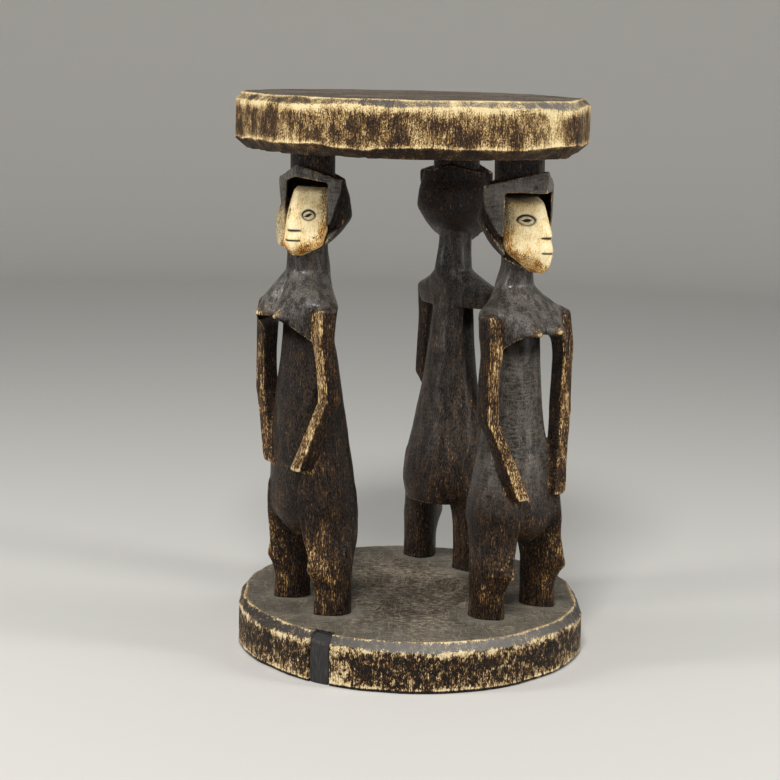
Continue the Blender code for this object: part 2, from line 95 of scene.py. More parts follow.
def drift(points, size, seed):  # smooth random field from -1 to 1, whose bumps are about size metres apart
    place = points / np.asarray(size, float)
    cell = np.floor(place)
    t = place - cell
    t = t * t * (3 - 2 * t)
    total = 0
    for corner in np.ndindex(2, 2, 2):
        weight = np.prod(np.where(np.array(corner), t, 1 - t), axis=-1)
        total = total + weight * scatter(*np.moveaxis(cell + corner, -1, 0), seed)
    return total * 2 - 1


def scoops(points, size, seed):
    # squared distance to the nearest of scattered cut centres: 0 in a cut, up to 1 on the ridges between cuts
    place = points / np.asarray(size, float)
    cell = np.floor(place)
    nearest = np.full(len(points), 9.0)
    for step in np.ndindex(3, 3, 3):
        home = cell + np.array(step) - 1
        i, j, k = np.moveaxis(home, -1, 0)
        middle = home + np.stack([scatter(i, j, k, seed + n) for n in range(3)], axis=-1)
        nearest = np.minimum(nearest, np.sum((place - middle) ** 2, axis=-1))
    return np.clip(nearest, 0, 1)


def oval(turn, half, front, back, frontPower=2.0, backPower=2.2):
    # superellipse: x = half * cos^(2/p), y = depth * sin^(2/p), with its own depth and p in front and behind
    c, s = np.cos(turn), np.sin(turn)
    front, back, half = (np.asarray(v, float)[:, None] for v in (front, back, half))
    p = np.where(s > 0, 2 / backPower, 2 / frontPower)
    x = half * np.sign(c) * np.abs(c) ** p
    y = np.where(s > 0, back, front) * np.sign(s) * np.abs(s) ** p
    return x, y


def stack(x, y, z):  # rows of rings, one height for each row or for each point
    z = np.asarray(z, float)
    return np.stack([x, y, np.broadcast_to(z[:, None] if z.ndim == 1 else z, x.shape)], axis=-1)


def solidMesh(name, grids):
    # closed solids from grids of rows and round columns, each end drawn in to its middle point
    points, quads, fans, start = [], [], [], 0
    for grid in grids:
        rows, cols = grid.shape[:2]
        index = start + np.arange(rows * cols).reshape(rows, cols)
        after = np.roll(index, -1, axis=1)
        quads.append(np.stack([index[:-1], after[:-1], after[1:], index[1:]], axis=-1).reshape(-1, 4))
        low, high = start + rows * cols, start + rows * cols + 1
        fans.append(np.stack([after[0], index[0], np.full(cols, low)], axis=-1))
        fans.append(np.stack([index[-1], after[-1], np.full(cols, high)], axis=-1))
        points += [grid.reshape(-1, 3), grid[:1].mean(axis=1), grid[-1:].mean(axis=1)]
        start += rows * cols + 2
    points, quads, fans = np.concatenate(points), np.concatenate(quads), np.concatenate(fans)
    mesh = bpy.data.meshes.new(name)
    mesh.vertices.add(len(points))
    mesh.vertices.foreach_set("co", points.ravel())
    corners = np.concatenate([quads.ravel(), fans.ravel()])
    mesh.loops.add(len(corners))
    mesh.loops.foreach_set("vertex_index", corners.astype(np.int32))
    counts = np.concatenate([np.full(len(quads), 4), np.full(len(fans), 3)])
    mesh.polygons.add(len(counts))
    starts = np.concatenate([[0], np.cumsum(counts)[:-1]])
    mesh.polygons.foreach_set("loop_start", starts.astype(np.int32))
    mesh.update(calc_edges=True)
    return mesh


def piece(name, mesh, material):
    obj = bpy.data.objects.new(name, mesh)
    bpy.context.scene.collection.objects.link(obj)
    mesh.materials.clear()
    mesh.materials.append(material)
    mesh.shade_smooth()
    return obj


def dress(name, mesh, material, node):  # a piece of the stool, in the place of a CAD node
    made = piece(name, mesh, material)
    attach(made, "root")
    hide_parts(node)


def readMesh(mesh):  # points, point normals and edges as arrays
    points = np.empty(len(mesh.vertices) * 3)
    mesh.vertices.foreach_get("co", points)
    normals = np.empty(len(mesh.vertices) * 3)
    mesh.vertex_normals.foreach_get("vector", normals)
    edges = np.empty(len(mesh.edges) * 2, np.int32)
    mesh.edges.foreach_get("vertices", edges)
    return points.reshape(-1, 3), normals.reshape(-1, 3), edges.reshape(-1, 2)


def writePoints(mesh, points):
    mesh.vertices.foreach_set("co", points.ravel())
    mesh.update()


def note(mesh, **marks):  # one number for each point under each name, for the finish to read
    for name, values in marks.items():
        mesh.attributes.new(name, "FLOAT", "POINT").data.foreach_set("value", np.asarray(values, np.float32))


def relax(values, edges, rounds, share=0.5):  # each point moves towards the mean of its neighbours
    values = values if values.ndim == 2 else values[:, None]
    count = np.bincount(edges.ravel(), minlength=len(values))[:, None]
    for _ in range(rounds):
        total = np.stack([
            np.bincount(edges[:, 0], column[edges[:, 1]], len(values))
            + np.bincount(edges[:, 1], column[edges[:, 0]], len(values)) for column in values.T], axis=-1)
        values = between(values, total / np.maximum(count, 1), share)
    return values


def smooth(points, edges, rounds, stepIn=0.60, stepOut=-0.63):
    # evens out the small steps of a skin without shrinking it: each round is a step in and a step out
    for _ in range(rounds):
        points = relax(relax(points, edges, 1, stepIn), edges, 1, stepOut)
    return points


def ridges(points, normals, edges, rounds):
    # how far a point stands out of (or lies under) its surroundings, in metres
    return np.sum((points - relax(points, edges, rounds)) * normals, axis=1)


def plug(tree, node, links):  # a plain value or another node's output for each socket, by name or in order
    for socket, source in links.items() if isinstance(links, dict) else enumerate(links):
        if hasattr(source, "is_output"):
            tree.links.new(source, node.inputs[socket])
        else:
            node.inputs[socket].default_value = source


def addNode(tree, kind, links=(), out=0, stops=(), **settings):
    # one node with its settings, colour stops of (place, hex) and links; gives back one of its outputs
    made = tree.nodes.new("ShaderNode" + kind)
    for key, value in settings.items():
        setattr(made, key, value)
    if stops:
        marks = made.color_ramp.elements
        for mark, (spot, code) in zip(marks, (stops[0], stops[-1])):
            mark.position, mark.color = spot, linear(code)
        for spot, code in stops[1:-1]:
            marks.new(spot).color = linear(code)
    plug(tree, made, links)
    return made.outputs[out]


softStep = dict(interpolation_type="SMOOTHSTEP")
product = dict(operation="MULTIPLY")


def newFinish(name):  # an empty finish: material, nodes, shader and the object coordinates in metres
    material = bpy.data.materials.new(name)
    material.use_nodes = True
    tree = material.node_tree
    return material, tree, tree.nodes["Principled BSDF"], addNode(tree, "TexCoord", out="Object")


def grain(tree, place, size, detail=3.0, rough=0.55, low=0.36, high=0.64):
    # random grain whose marks are size millimetres along x, y and z, spread out from 0 at low to 1 at high
    steps = addNode(tree, "Mapping", {"Vector": place, "Scale": tuple(1000 / s for s in size)})
    noise = {"Vector": steps, "Scale": 1.0, "Detail": detail, "Roughness": rough}
    return addNode(tree, "MapRange", (addNode(tree, "TexNoise", noise, "Fac"), low, high), **softStep)


def weighed(tree, start, *terms):  # start + the sum of value * weight, for terms of (value, weight)
    for value, weight in terms:
        start = addNode(tree, "Math", (value, weight, start), operation="MULTIPLY_ADD")
    return start


def coats(tree, colour, *layers):  # coats of (share, most, hex) over a colour: share * most of it is covered
    for share, most, code in layers:
        cover = addNode(tree, "Math", (share, most), **product)
        layer = {"Factor": cover, "A": colour, "B": linear(code)}
        colour = addNode(tree, "Mix", layer, "Result", data_type="RGBA")
    return colour


print("helpers ready")


# camera as fitted to the rims in the photograph

camera = dict(lens=85.63, place=(0.00399, -1.40114, 0.45749), turn=0.8065, down=10.551, roll=1.343)

eye = bpy.data.objects.new("camera", bpy.data.cameras.new("camera"))
bpy.context.scene.collection.objects.link(eye)
eye.data.lens = camera["lens"]
eye.data.sensor_width = 36
eye.matrix_world = (
    Matrix.Translation(camera["place"]) @ Matrix.Rotation(math.radians(camera["turn"]), 4, "Z")
    @ Matrix.Rotation(math.radians(90 - camera["down"]), 4, "X")
    @ Matrix.Rotation(math.radians(camera["roll"]), 4, "Z"))
bpy.context.scene.camera = eye


# studio: pale sweep, soft key from above and in front, one strip on each side for the outer arms

studio = dict(
    sweep="#cfccc6", sweepRough=0.9, near=0.4, far=2.2, bend=0.7, wall=1.7,
    lamps=(  # name, place, aim, width, height, watts
        ("key", (-0.20, -1.70, 2.15), (0, 0, 0.20), 0.62, 0.62, 51),
        ("left strip", (-1.20, -0.35, 0.70), (0, 0, 0.22), 0.25, 1.0, 9),
        ("right strip", (1.20, -0.35, 0.70), (0, 0, 0.22), 0.25, 1.0, 9),
    ),
    sky="#cfd3d8", skyStrength=0.26,
)


def sweepFloor():
    # round floor that bends up into a low wall: floor, quarter round and wall carried round the axis
    arc, turn = np.linspace(0, math.pi / 2, 24), np.linspace(0, 2 * math.pi, 128, endpoint=False)
    far, bend = studio["far"], studio["bend"]
    out = np.concatenate([[studio["near"]], far + bend * np.sin(arc), [far + bend]])
    z = np.concatenate([[0.0], bend * (1 - np.cos(arc)), [studio["wall"]]])
    points = stack(out[:, None] * np.cos(turn), out[:, None] * np.sin(turn), z)
    index = np.arange(len(out) * len(turn)).reshape(len(out), -1)
    after = np.roll(index, -1, axis=1)
    quads = np.stack([index[:-1], index[1:], after[1:], after[:-1]], axis=-1).reshape(-1, 4)
    mesh = bpy.data.meshes.new("floor")
    mesh.from_pydata(points.reshape(-1, 3).tolist(), [], quads.tolist() + [index[0].tolist()])
    return mesh


def paperSweep():
    # matt background paper: no gloss, one even pale grey
    material, tree, shader, place = newFinish("matt paper sweep")
    plug(tree, shader, {"Base Color": linear(studio["sweep"]), "Roughness": studio["sweepRough"]})
    return material


piece("floor", sweepFloor(), paperSweep())

for name, spot, aim, width, height, watts in studio["lamps"]:
    lamp = bpy.data.lights.new(name, "AREA")
    lamp.shape, lamp.size, lamp.size_y, lamp.energy = "RECTANGLE", width, height, watts
    holder = bpy.data.objects.new(name, lamp)
    bpy.context.scene.collection.objects.link(holder)
    holder.location = spot
    look = np.subtract(aim, spot)
    tilt = math.acos(-look[2] / np.linalg.norm(look))
    holder.rotation_euler = (tilt, 0, math.atan2(look[1], look[0]) - math.pi / 2)

world = bpy.context.scene.world or bpy.data.worlds.new("studio")
bpy.context.scene.world = world
world.use_nodes = True
sky = world.node_tree.nodes["Background"]
sky.inputs["Color"].default_value = linear(studio["sky"])
sky.inputs["Strength"].default_value = studio["skyStrength"]
bpy.context.scene.view_settings.view_transform = "Standard"
print("studio ready")


# finishes; grain sizes are millimetres along x, y and z, and fibres are drawn coarser than real ones, to show

def patinaWood():
    # carved hardwood under a rubbed black-brown patina: dark and half glossy with fine upright fibres, greyed
    # where it gathers dust and painted lighter grey as sheen on chest and belly, near black in hollows and as
    # painted shade under the chest and behind the cap band, worn through brown to tan and pale wood on edges
    # and wherever hands reach it
    look = dict(
        tones=((0.05, "#0e0805"), (0.28, "#28190e"), (0.46, "#412a15"), (0.56, "#745228"), (0.65, "#b8945c"),
               (0.84, "#e8d0a2")),
        # dust is grey dust and also painted sheen on chest and belly; depth is near black for hollows and
        # also painted shade under the chest and behind the cap band
        nick="#b88d4e", dust="#4c453b", rib="#6e675d", wash="#dcc592", depth="#070504",
        fibre=(0.7, 0.7, 13), speck=(0.8, 0.8, 2.4), patch=(5, 5, 18), cloud=(24, 24, 50),
        comb=(7, 7, 1.7), nickSize=(0.5, 0.5, 3.2), coatRough=0.24, relief=0.00048)
    material, tree, shader, place = newFinish("rubbed dark patina on carved wood")
    worn, grey, edge, hollow, combed, clayed = (
        addNode(tree, "Attribute", out="Fac", attribute_name=name)
        for name in ("worn", "grey", "edge", "hollow", "combed", "clayed"))
    fibre = grain(tree, place, look["fibre"], 5.0, 0.65)
    speck = grain(tree, place, look["speck"], 4.0, 0.7)
    patch, cloud = (grain(tree, place, look[key]) for key in ("patch", "cloud"))
    nicks = grain(tree, place, look["nickSize"], 2.0, 0.5, 0.67, 0.74)
    ribs = addNode(tree, "Math", (combed, grain(tree, place, look["comb"], 2.0, 0.5)), **product)
    level = weighed(tree, -0.50, (worn, 0.46), (edge, 0.62), (speck, 0.36), (fibre, 0.46), (patch, 0.18),
                    (cloud, 0.10))
    spots = weighed(tree, 0.0, (speck, 0.45), (patch, 0.55))
    uneven = addNode(tree, "MapRange", (spots, 0.15, 0.85, 0.22, 1.0), **softStep)
    unworn = addNode(tree, "MapRange", (level, 0.40, 0.58, 1.0, 0.0), **softStep)
    dustAndSheen = addNode(tree, "Math", (addNode(tree, "Math", (grey, uneven), **product), unworn), **product)
    pores = weighed(tree, 0.0, (speck, 0.5), (fibre, 0.5))
    thin = addNode(tree, "MapRange", (pores, 0.2, 0.6, 0.25, 1.0), **softStep)
    colour = coats(
        tree, addNode(tree, "ValToRGB", (level,), "Color", look["tones"]), (nicks, 0.75, look["nick"]),
        (dustAndSheen, 1.0, look["dust"]), (ribs, 0.40, look["rib"]), (clayed, thin, look["wash"]),
        (hollow, 0.92, look["depth"]))
    sheen = weighed(tree, 0.11, (dustAndSheen, 0.95), (speck, 0.12))
    outer = addNode(tree, "MapRange", (hollow, 0.0, 0.8, 1.0, 0.05), **softStep)
    height = weighed(tree, 0.0, (fibre, 0.35), (speck, 0.45), (ribs, 0.55))
    plug(tree, shader, {
        "Base Color": colour,
        "Roughness": weighed(tree, 0.24, (speck, 0.12), (level, 0.24), (hollow, 0.3), (dustAndSheen, -0.04)),
        "Specular IOR Level": addNode(tree, "Math", (sheen, outer), **product),
        "Coat Weight": addNode(tree, "Math", (dustAndSheen, 0.8), **product),  # rubbed gloss of handling
        "Coat Roughness": look["coatRough"],
        "Normal": addNode(tree, "Bump", {"Strength": 0.9, "Distance": look["relief"], "Height": height})})
    return material


def clayFace():
    # white clay rubbed over the carved face: matt cream yellowed by handling, ochre and dark specks towards
    # the jaw, greyer at the temples and towards the top under the band, black in the cuts
    look = dict(
        tones=((0.0, "#f6e6bd"), (0.30, "#ebd29b"), (0.50, "#cb9a53"), (0.68, "#8a5522"), (0.85, "#301c0d")),
        dust="#7d7565", speckTone="#3b2412", nick="#6d4a24", dirt="#0d0805",
        fibre=(0.45, 0.45, 5), speck=(0.8, 0.8, 1.4), cloud=(6, 6, 10), nickSize=(0.6, 0.6, 1.3),
        rough=0.66, sheen=0.15, relief=0.0002)
    material, tree, shader, place = newFinish("yellowed white clay on carved wood")
    stain, cut, dust = (
        addNode(tree, "Attribute", out="Fac", attribute_name=name) for name in ("stain", "cut", "dust"))
    fibre = grain(tree, place, look["fibre"], 5.0, 0.65)
    speck = grain(tree, place, look["speck"], 4.0, 0.75)
    cloud = grain(tree, place, look["cloud"], 4.0, 0.6)
    nicks = grain(tree, place, look["nickSize"], 2.0, 0.5, 0.69, 0.76)
    level = weighed(tree, -0.22, (stain, 0.46), (cloud, 0.26), (speck, 0.24), (fibre, 0.30))
    dusty = addNode(tree, "MapRange", (speck, 0.35, 0.65, 0.35, 0.95), **softStep)
    pores = weighed(tree, 0.0, (speck, 0.5), (fibre, 0.5))
    specks = addNode(tree, "MapRange", (pores, 0.56, 0.74), **softStep)
    soiled = addNode(tree, "MapRange", (stain, 0.1, 0.6, 0.10, 1.0), **softStep)
    colour = coats(
        tree, addNode(tree, "ValToRGB", (level,), "Color", look["tones"]), (dust, dusty, look["dust"]),
        (specks, soiled, look["speckTone"]), (nicks, 0.55, look["nick"]), (cut, 0.97, look["dirt"]))
    height = weighed(tree, 0.0, (fibre, 0.3), (cloud, 0.3), (speck, 0.4))
    plug(tree, shader, {
        "Base Color": colour, "Roughness": look["rough"], "Specular IOR Level": look["sheen"],
        "Normal": addNode(tree, "Bump", {"Strength": 0.6, "Distance": look["relief"], "Height": height})})
    return material


discLook = dict(  # what both discs share
    cloud=(34, 34, 40), fleck=(0.8, 0.8, 0.8), sway=40, score=(0.8, 38, 25), nickSize=(0.5, 0.5, 3.0),
    nick="#d2b075", topNickTone="#b1986d", topEdge="#c9a66a", crack="#0b0806", relief=0.0004)
seatLook = dict(
    tones=((0.05, "#120b06"), (0.25, "#2a1b0f"), (0.42, "#4f341b"), (0.56, "#8b693b"), (0.69, "#d2b277"),
           (0.86, "#f2deac")),
    weights=(0.28, 0.54, 0.32, 0.10), wornThrough=-0.27,  # weights of streak, dash, patch and cloud
    streak=(0.7, 0.7, 7), dash=(0.65, 0.65, 1.3), patch=(9, 9, 16),
    chamfer="#2c2926", chamferLight="#77726a", grain=(60, 0.9, 8), grainShare=0.26,
    topTones=((0.12, "#211a14"), (0.38, "#4d4338"), (0.62, "#776c60"), (0.88, "#aca291")),
    scores=(4, 86, 150), topNick=(6, 0.7, 1), scoreTone="#a89b86", halo="#7b7468")
baseLook = dict(
    tones=((0.05, "#0e0906"), (0.28, "#23170d"), (0.45, "#452c15"), (0.54, "#947144"), (0.64, "#d8bc88"),
           (0.80, "#f0deb4")),
    weights=(0.30, 0.44, 0.42, 0.08), wornThrough=-0.41,
    streak=(0.7, 0.7, 9), dash=(0.75, 0.75, 1.7), patch=(3.6, 3.6, 5),
    chamfer="#2e2b28", chamferLight="#7c766e", grain=(5, 2.2, 8), grainShare=0.34,
    topTones=((0.12, "#17110c"), (0.38, "#3d342a"), (0.62, "#61574a"), (0.88, "#a29682")),
    scores=(33, 104, 152), topNick=(3, 0.8, 1), scoreTone="#9c9079", halo="#7d786c")


def stainedDisc(name, own):
    # adzed hardwood stained black: worn through brown and ochre to cream wood along the edges and in upright
    # scratches on the rim, with smooth grey chamfers, glossier and painted lighter towards the front as a
    # highlight, and a dusty, scored top
    look = {**discLook, **own}
    material, tree, shader, place = newFinish(name)
    top, edge, chamfer, halo, crack = (
        addNode(tree, "Attribute", out="Fac", attribute_name=key)
        for key in ("top", "edge", "chamfer", "halo", "crack"))
    streak = grain(tree, place, look["streak"], 5.0, 0.68)
    dash = grain(tree, place, look["dash"], 5.0, 0.75)
    patch = grain(tree, place, look["patch"], 4.0, 0.65)
    cloud = grain(tree, place, look["cloud"])
    nicks = grain(tree, place, look["nickSize"], 2.0, 0.5, 0.66, 0.73)
    rubs = zip((streak, dash, patch, cloud), look["weights"])
    level = weighed(tree, look["wornThrough"], (edge, 0.60), *rubs)
    stained = addNode(tree, "MapRange", (level, 0.50, 0.72, 1.0, 0.0), **softStep)
    chamferSheen = addNode(tree, "Math", (chamfer, stained), **product)
    # painted highlight: the chamfer is coloured lighter where its mark is high, towards the front
    chamferHighlight = addNode(tree, "MapRange", (chamfer, 0.45, 1.0), **softStep)
    patchy = addNode(tree, "MapRange", (patch, 0.2, 0.8, 0.75, 1.0), **softStep)
    litChamfer = coats(tree, linear(look["chamfer"]), (chamferHighlight, patchy, look["chamferLight"]))
    side = addNode(tree, "ValToRGB", (level,), "Color", look["tones"])
    side = coats(tree, side, (nicks, 0.8, look["nick"]))
    side = addNode(tree, "Mix", {"Factor": chamferSheen, "A": side, "B": litChamfer}, "Result", data_type="RGBA")

    fibre = grain(tree, place, look["grain"], 5.0, 0.65)
    fleck = grain(tree, place, look["fleck"], 4.0, 0.7)
    greyed = weighed(tree, 0.06, (fibre, look["grainShare"]), (fleck, 0.30), (cloud, 0.18), (patch, 0.10))
    sway = addNode(tree, "TexNoise", {"Vector": place, "Scale": 1000 / look["sway"]}, "Color")
    bent = addNode(tree, "VectorMath", (sway, (0.03, 0.03, 0.0), place), operation="MULTIPLY_ADD")
    scores = 0.0
    for turn in look["scores"]:  # long fine scratches, slightly bent, in a few directions
        laid = {"Vector": bent, "Rotation": (0, 0, math.radians(turn)),
                "Scale": tuple(1000 / s for s in look["score"])}
        line = {"Vector": addNode(tree, "Mapping", laid), "Scale": 1.0, "Detail": 1.0, "Roughness": 0.4}
        line = addNode(tree, "MapRange", (addNode(tree, "TexNoise", line, "Fac"), 0.67, 0.74), **softStep)
        scores = addNode(tree, "Math", (scores, line), operation="MAXIMUM")
    topNicks = grain(tree, place, look["topNick"], 2.0, 0.5, 0.69, 0.75)
    rubbed = weighed(tree, 0.0, (edge, 0.8), (dash, 0.6))
    flat = coats(
        tree, addNode(tree, "ValToRGB", (greyed,), "Color", look["topTones"]),
        (scores, 0.55, look["scoreTone"]), (topNicks, 1.0, look["topNickTone"]), (halo, 0.55, look["halo"]),
        (addNode(tree, "MapRange", (rubbed, 0.55, 0.85), **softStep), 1.0, look["topEdge"]))
    colour = addNode(tree, "Mix", {"Factor": top, "A": side, "B": flat}, "Result", data_type="RGBA")
    dull = addNode(tree, "MapRange", (dash, 0.3, 0.7, 0.52, 0.72), **softStep)
    sideHeight = weighed(tree, 0.0, (streak, 0.5), (dash, 0.45))
    flatHeight = weighed(tree, 0.0, (fibre, 0.35), (scores, 0.25), (fleck, 0.3))
    height = addNode(tree, "Mix", {0: top, 2: sideHeight, 3: flatHeight}, data_type="FLOAT")
    plug(tree, shader, {
        "Base Color": coats(tree, colour, (crack, 1.0, look["crack"])),
        "Roughness": weighed(tree, dull, (chamferSheen, -0.25)),
        "Specular IOR Level": weighed(tree, 0.2, (chamferSheen, 0.4)),
        "Normal": addNode(tree, "Bump", {"Strength": 0.9, "Distance": look["relief"], "Height": height})})
    return material


def repairWood():
    # harder wood let into the rim and blacked: nearly black and dull, with short fibres and rubbed corners
    look = dict(
        tones=((0.0, "#131110"), (0.45, "#262322"), (0.7, "#45403a"), (1.0, "#7a6a52")),
        fibre=(0.8, 0.8, 7), rough=0.55, relief=0.0005)
    material, tree, shader, place = newFinish("blacked let-in wood")
    fibre = grain(tree, place, look["fibre"], 5.0, 0.65)
    edge = addNode(tree, "Attribute", out="Fac", attribute_name="edge")
    level = weighed(tree, 0.0, (edge, 0.35), (fibre, 0.55))
    plug(tree, shader, {
        "Base Color": addNode(tree, "ValToRGB", (level,), "Color", look["tones"]), "Roughness": look["rough"],
        "Normal": addNode(tree, "Bump", {"Strength": 0.6, "Distance": look["relief"], "Height": fibre})})
    return material


patina = patinaWood()
clay = clayFace()
seatFinish = stainedDisc("worn black stain, seat", seatLook)
baseFinish = stainedDisc("worn black stain, base", baseLook)
repairFinish = repairWood()
print("finishes ready")


# discs; bearings are degrees, lengths are metres

seatCut = dict(
    centre=0.0, radius=0.1375, low=stool["seatUnder"], high=stool["seatTop"],
    flats=((350, 0.012), (24, 0.012), (317, 0.002), (60, 0.001), (100, 0.0015), (135, 0.002), (160, 0.002),
           (183, 0.0032), (205, 0.0035), (240, 0.001), (282, 0.001)),  # bearing and depth of each adze flat
    chamfer=(0.005, 0.0055), underChamfer=(0.0085, 0.0075),  # width and height
    notch=None, seed=11,
    cracks=((263, 3, 0.9), (293.5, 3, 0.8), (273, 1, 0.9)),  # bearing, zone and share of the zone's height
    worn=((186, 10, -0.10), (214, 9, -0.10), (232, 10, 0.12), (252, 8, -0.05), (316, 5.5, 0.75),
          (333, 8, -0.2), (270, 9, 0.10), (200, 8, 0.10)),  # bearing, spread and how much more is worn
    # the last number is the bearing where the chamfer is glossiest and painted lightest, as a highlight
    lowWear=0.0, slopeWear=0.30, chamferSheen=300,
)
baseCut = dict(
    centre=stool["shift"], radius=0.135, low=0.0, high=stool["baseTop"],
    flats=((2, 0.0042), (40, 0.001), (80, 0.0012), (130, 0.001), (183, 0.0018), (222, 0.0012), (262, 0.0008),
           (315, 0.0012)),
    chamfer=(0.005, 0.0065), underChamfer=(0.002, 0.002),
    notch=dict(bearing=241, width=0.0176, depth=0.0103), seed=23,
    cracks=(), worn=((212, 14, 0.02), (248, 4, 0.50), (275, 14, -0.04), (300, 8, 0.08)),
    # the last number is the bearing where the chamfer is glossiest and painted lightest, as a highlight
    lowWear=0.18, slopeWear=0.0, chamferSheen=287,
)
adze = dict(  # tool marks and damage that both discs share
    scoop=(0.011, 0.011, 0.03), scoopDepth=0.00030,
    wave=0.02, waveHeight=0.00022, topWave=0.03, topDip=0.0002,
    chip=(0.006, 0.006, 0.004), chipDepth=0.0007, skin=0.0001, crackDepth=0.0008,
    ease=0.0006,  # rounding where two flats meet
    crackStep=0.003, notchClear=0.004, notchStep=0.0001,  # radians between the columns at a crack or a notch
)


def rimReach(cut, turn):
    # radius at each bearing: the smallest of the round and the adze flats, with slightly eased corners
    reach, ease = np.full_like(turn, cut["radius"]), adze["ease"]
    for bearing, depth in cut["flats"]:
        lean = np.cos(turn - math.radians(bearing))
        flat = (cut["radius"] - depth) / np.maximum(lean, 0.5)
        eased = 0.5 * (reach + flat - np.sqrt((reach - flat) ** 2 + ease ** 2)) + ease * 0.3
        reach = np.where(lean > 0.5, eased, reach)
    return np.minimum(reach, cut["radius"])


def fromBearing(turn, bearing):  # signed angle from a bearing in degrees
    return (turn - math.radians(bearing) + math.pi) % (2 * math.pi) - math.pi


def discSurface(cut):
    # a profile (radius, height) carried round the rim: under face, under chamfer, wall, chamfer, top face
    turn, step = np.linspace(0, 2 * math.pi, 660, endpoint=False), adze["crackStep"]
    extra = [math.radians(crack[0]) + side * step for crack in cut["cracks"] for side in (-1, 0, 1)]
    if cut["notch"]:
        half = cut["notch"]["width"] / 2 / cut["radius"]
        mark = math.radians(cut["notch"]["bearing"])
        fromEdge = np.abs(fromBearing(turn, cut["notch"]["bearing"])) - half
        turn, step = turn[np.abs(fromEdge) > adze["notchClear"]], adze["notchStep"]
        extra += [mark + side * (half + more) for side in (-1, 1) for more in (-step, step)]
    turn = np.sort(np.concatenate([turn, np.array(extra)]))
    reach = rimReach(cut, turn)
    ring = np.stack([np.cos(turn), np.sin(turn), np.zeros_like(turn)], axis=-1) * cut["radius"]
    wobble, slow = drift(ring, 0.012, cut["seed"]), drift(ring, 0.04, cut["seed"] + 1)
    width = cut["chamfer"][0] * (1 + 0.2 * wobble + 0.25 * slow)
    height = cut["chamfer"][1] * (1 + 0.25 * slow + 0.15 * drift(ring, 0.006, cut["seed"] + 2))
    underWidth = cut["underChamfer"][0] * (1 + 0.2 * wobble)
    underHeight = cut["underChamfer"][1] * (1 + 0.3 * slow + 0.1 * wobble)
    high, low = cut["high"], cut["low"]
    inner, top = reach - underWidth, reach - width
    wallLow, wallHigh = low + underHeight, high - height
    same = 0 * turn
    topShares = np.concatenate([np.linspace(1, 0.94, 6), np.linspace(0.92, 0.02, 36)])
    # radius, height and place of each row; the place is the zone (0 under .. 4 top) and the share of it
    rows = [(inner * t, low + same, t * 0.99) for t in np.linspace(0.04, 1, 12)]
    rows += [(inner + underWidth * t, low + underHeight * t, 1 + t * 0.99) for t in np.linspace(0.12, 1, 6)]
    rows += [(reach, between(wallLow, wallHigh, t), 2 + t) for t in np.linspace(0.03, 0.97, 30)]
    rows += [(reach - width * t, high - height * (1 - t), 3 + t) for t in np.linspace(0, 0.94, 8)]
    rows += [(top * t, high + same, 5 - t * 0.99) for t in topShares]
    radius, z = (np.array([row[n] for row in rows]) for n in (0, 1))
    if cut["notch"]:
        inside = np.abs(fromBearing(turn, cut["notch"]["bearing"])) < half
        radius = np.where(inside, np.minimum(radius, cut["radius"] - cut["notch"]["depth"]), radius)
    place = np.repeat(np.array([row[2] for row in rows])[:, None], len(turn), axis=1)
    return np.stack([radius * np.cos(turn), radius * np.sin(turn), z], axis=-1), place


def discWear(cut, points, place):  # how far each place is worn through to pale wood: along its edges most
    zone, share = np.floor(place), place % 1
    turn = np.arctan2(points[:, 1], points[:, 0])
    tall = cut["high"] - cut["low"] - cut["chamfer"][1] - cut["underChamfer"][1]
    ground = points * (1, 1, 0)
    ragged = 0.75 + 0.45 * drift(ground, 0.016, cut["seed"] + 8) + 0.25 * drift(ground, 0.004, 71)
    wall = 0.95 * ragged * np.exp(-((1 - share) * tall / 0.0042) ** 2)
    wall = wall + 0.75 * ragged * np.exp(-(share * tall / 0.0024) ** 2)
    wall += cut["lowWear"] * (1 - ramp(share, 0.15, 0.6))
    for bearing, span, more in cut["worn"]:
        wall += more * np.exp(-(fromBearing(turn, bearing) / math.radians(span)) ** 2)
    slope = 0.9 * ragged * ramp(share, 0.72, 0.92) + 0.75 * ragged * (1 - ramp(share, 0.0, 0.25))
    slope += cut["slopeWear"] * (0.7 + drift(ground, 0.022, cut["seed"] + 9))
    out = np.hypot(points[:, 0], points[:, 1])
    flat = 0.75 * ragged * np.exp(-((rimReach(cut, turn) - cut["chamfer"][0] - out) / 0.0014) ** 2)
    under = 0.35 * ragged * ramp(share, 0.85, 1.0) - 0.32
    return np.select([zone == 1, zone == 2, zone == 3, zone == 4], [under, wall, slope, flat], -0.2)


def feetDust(points):  # grey dust that gathers round the feet
    halo = np.zeros(len(points))
    for plan in figures.values():
        feet = [(side * build["legSpread"] / 2, build["legBack"], 0) for side in (-1, 1)]
        for foot in setOnBase(plan, np.array(feet)):
            far = np.hypot(points[:, 0] - foot[0], points[:, 1] - foot[1])
            halo = np.maximum(halo, 1 - ramp(far, 0.014, 0.036))
    return halo


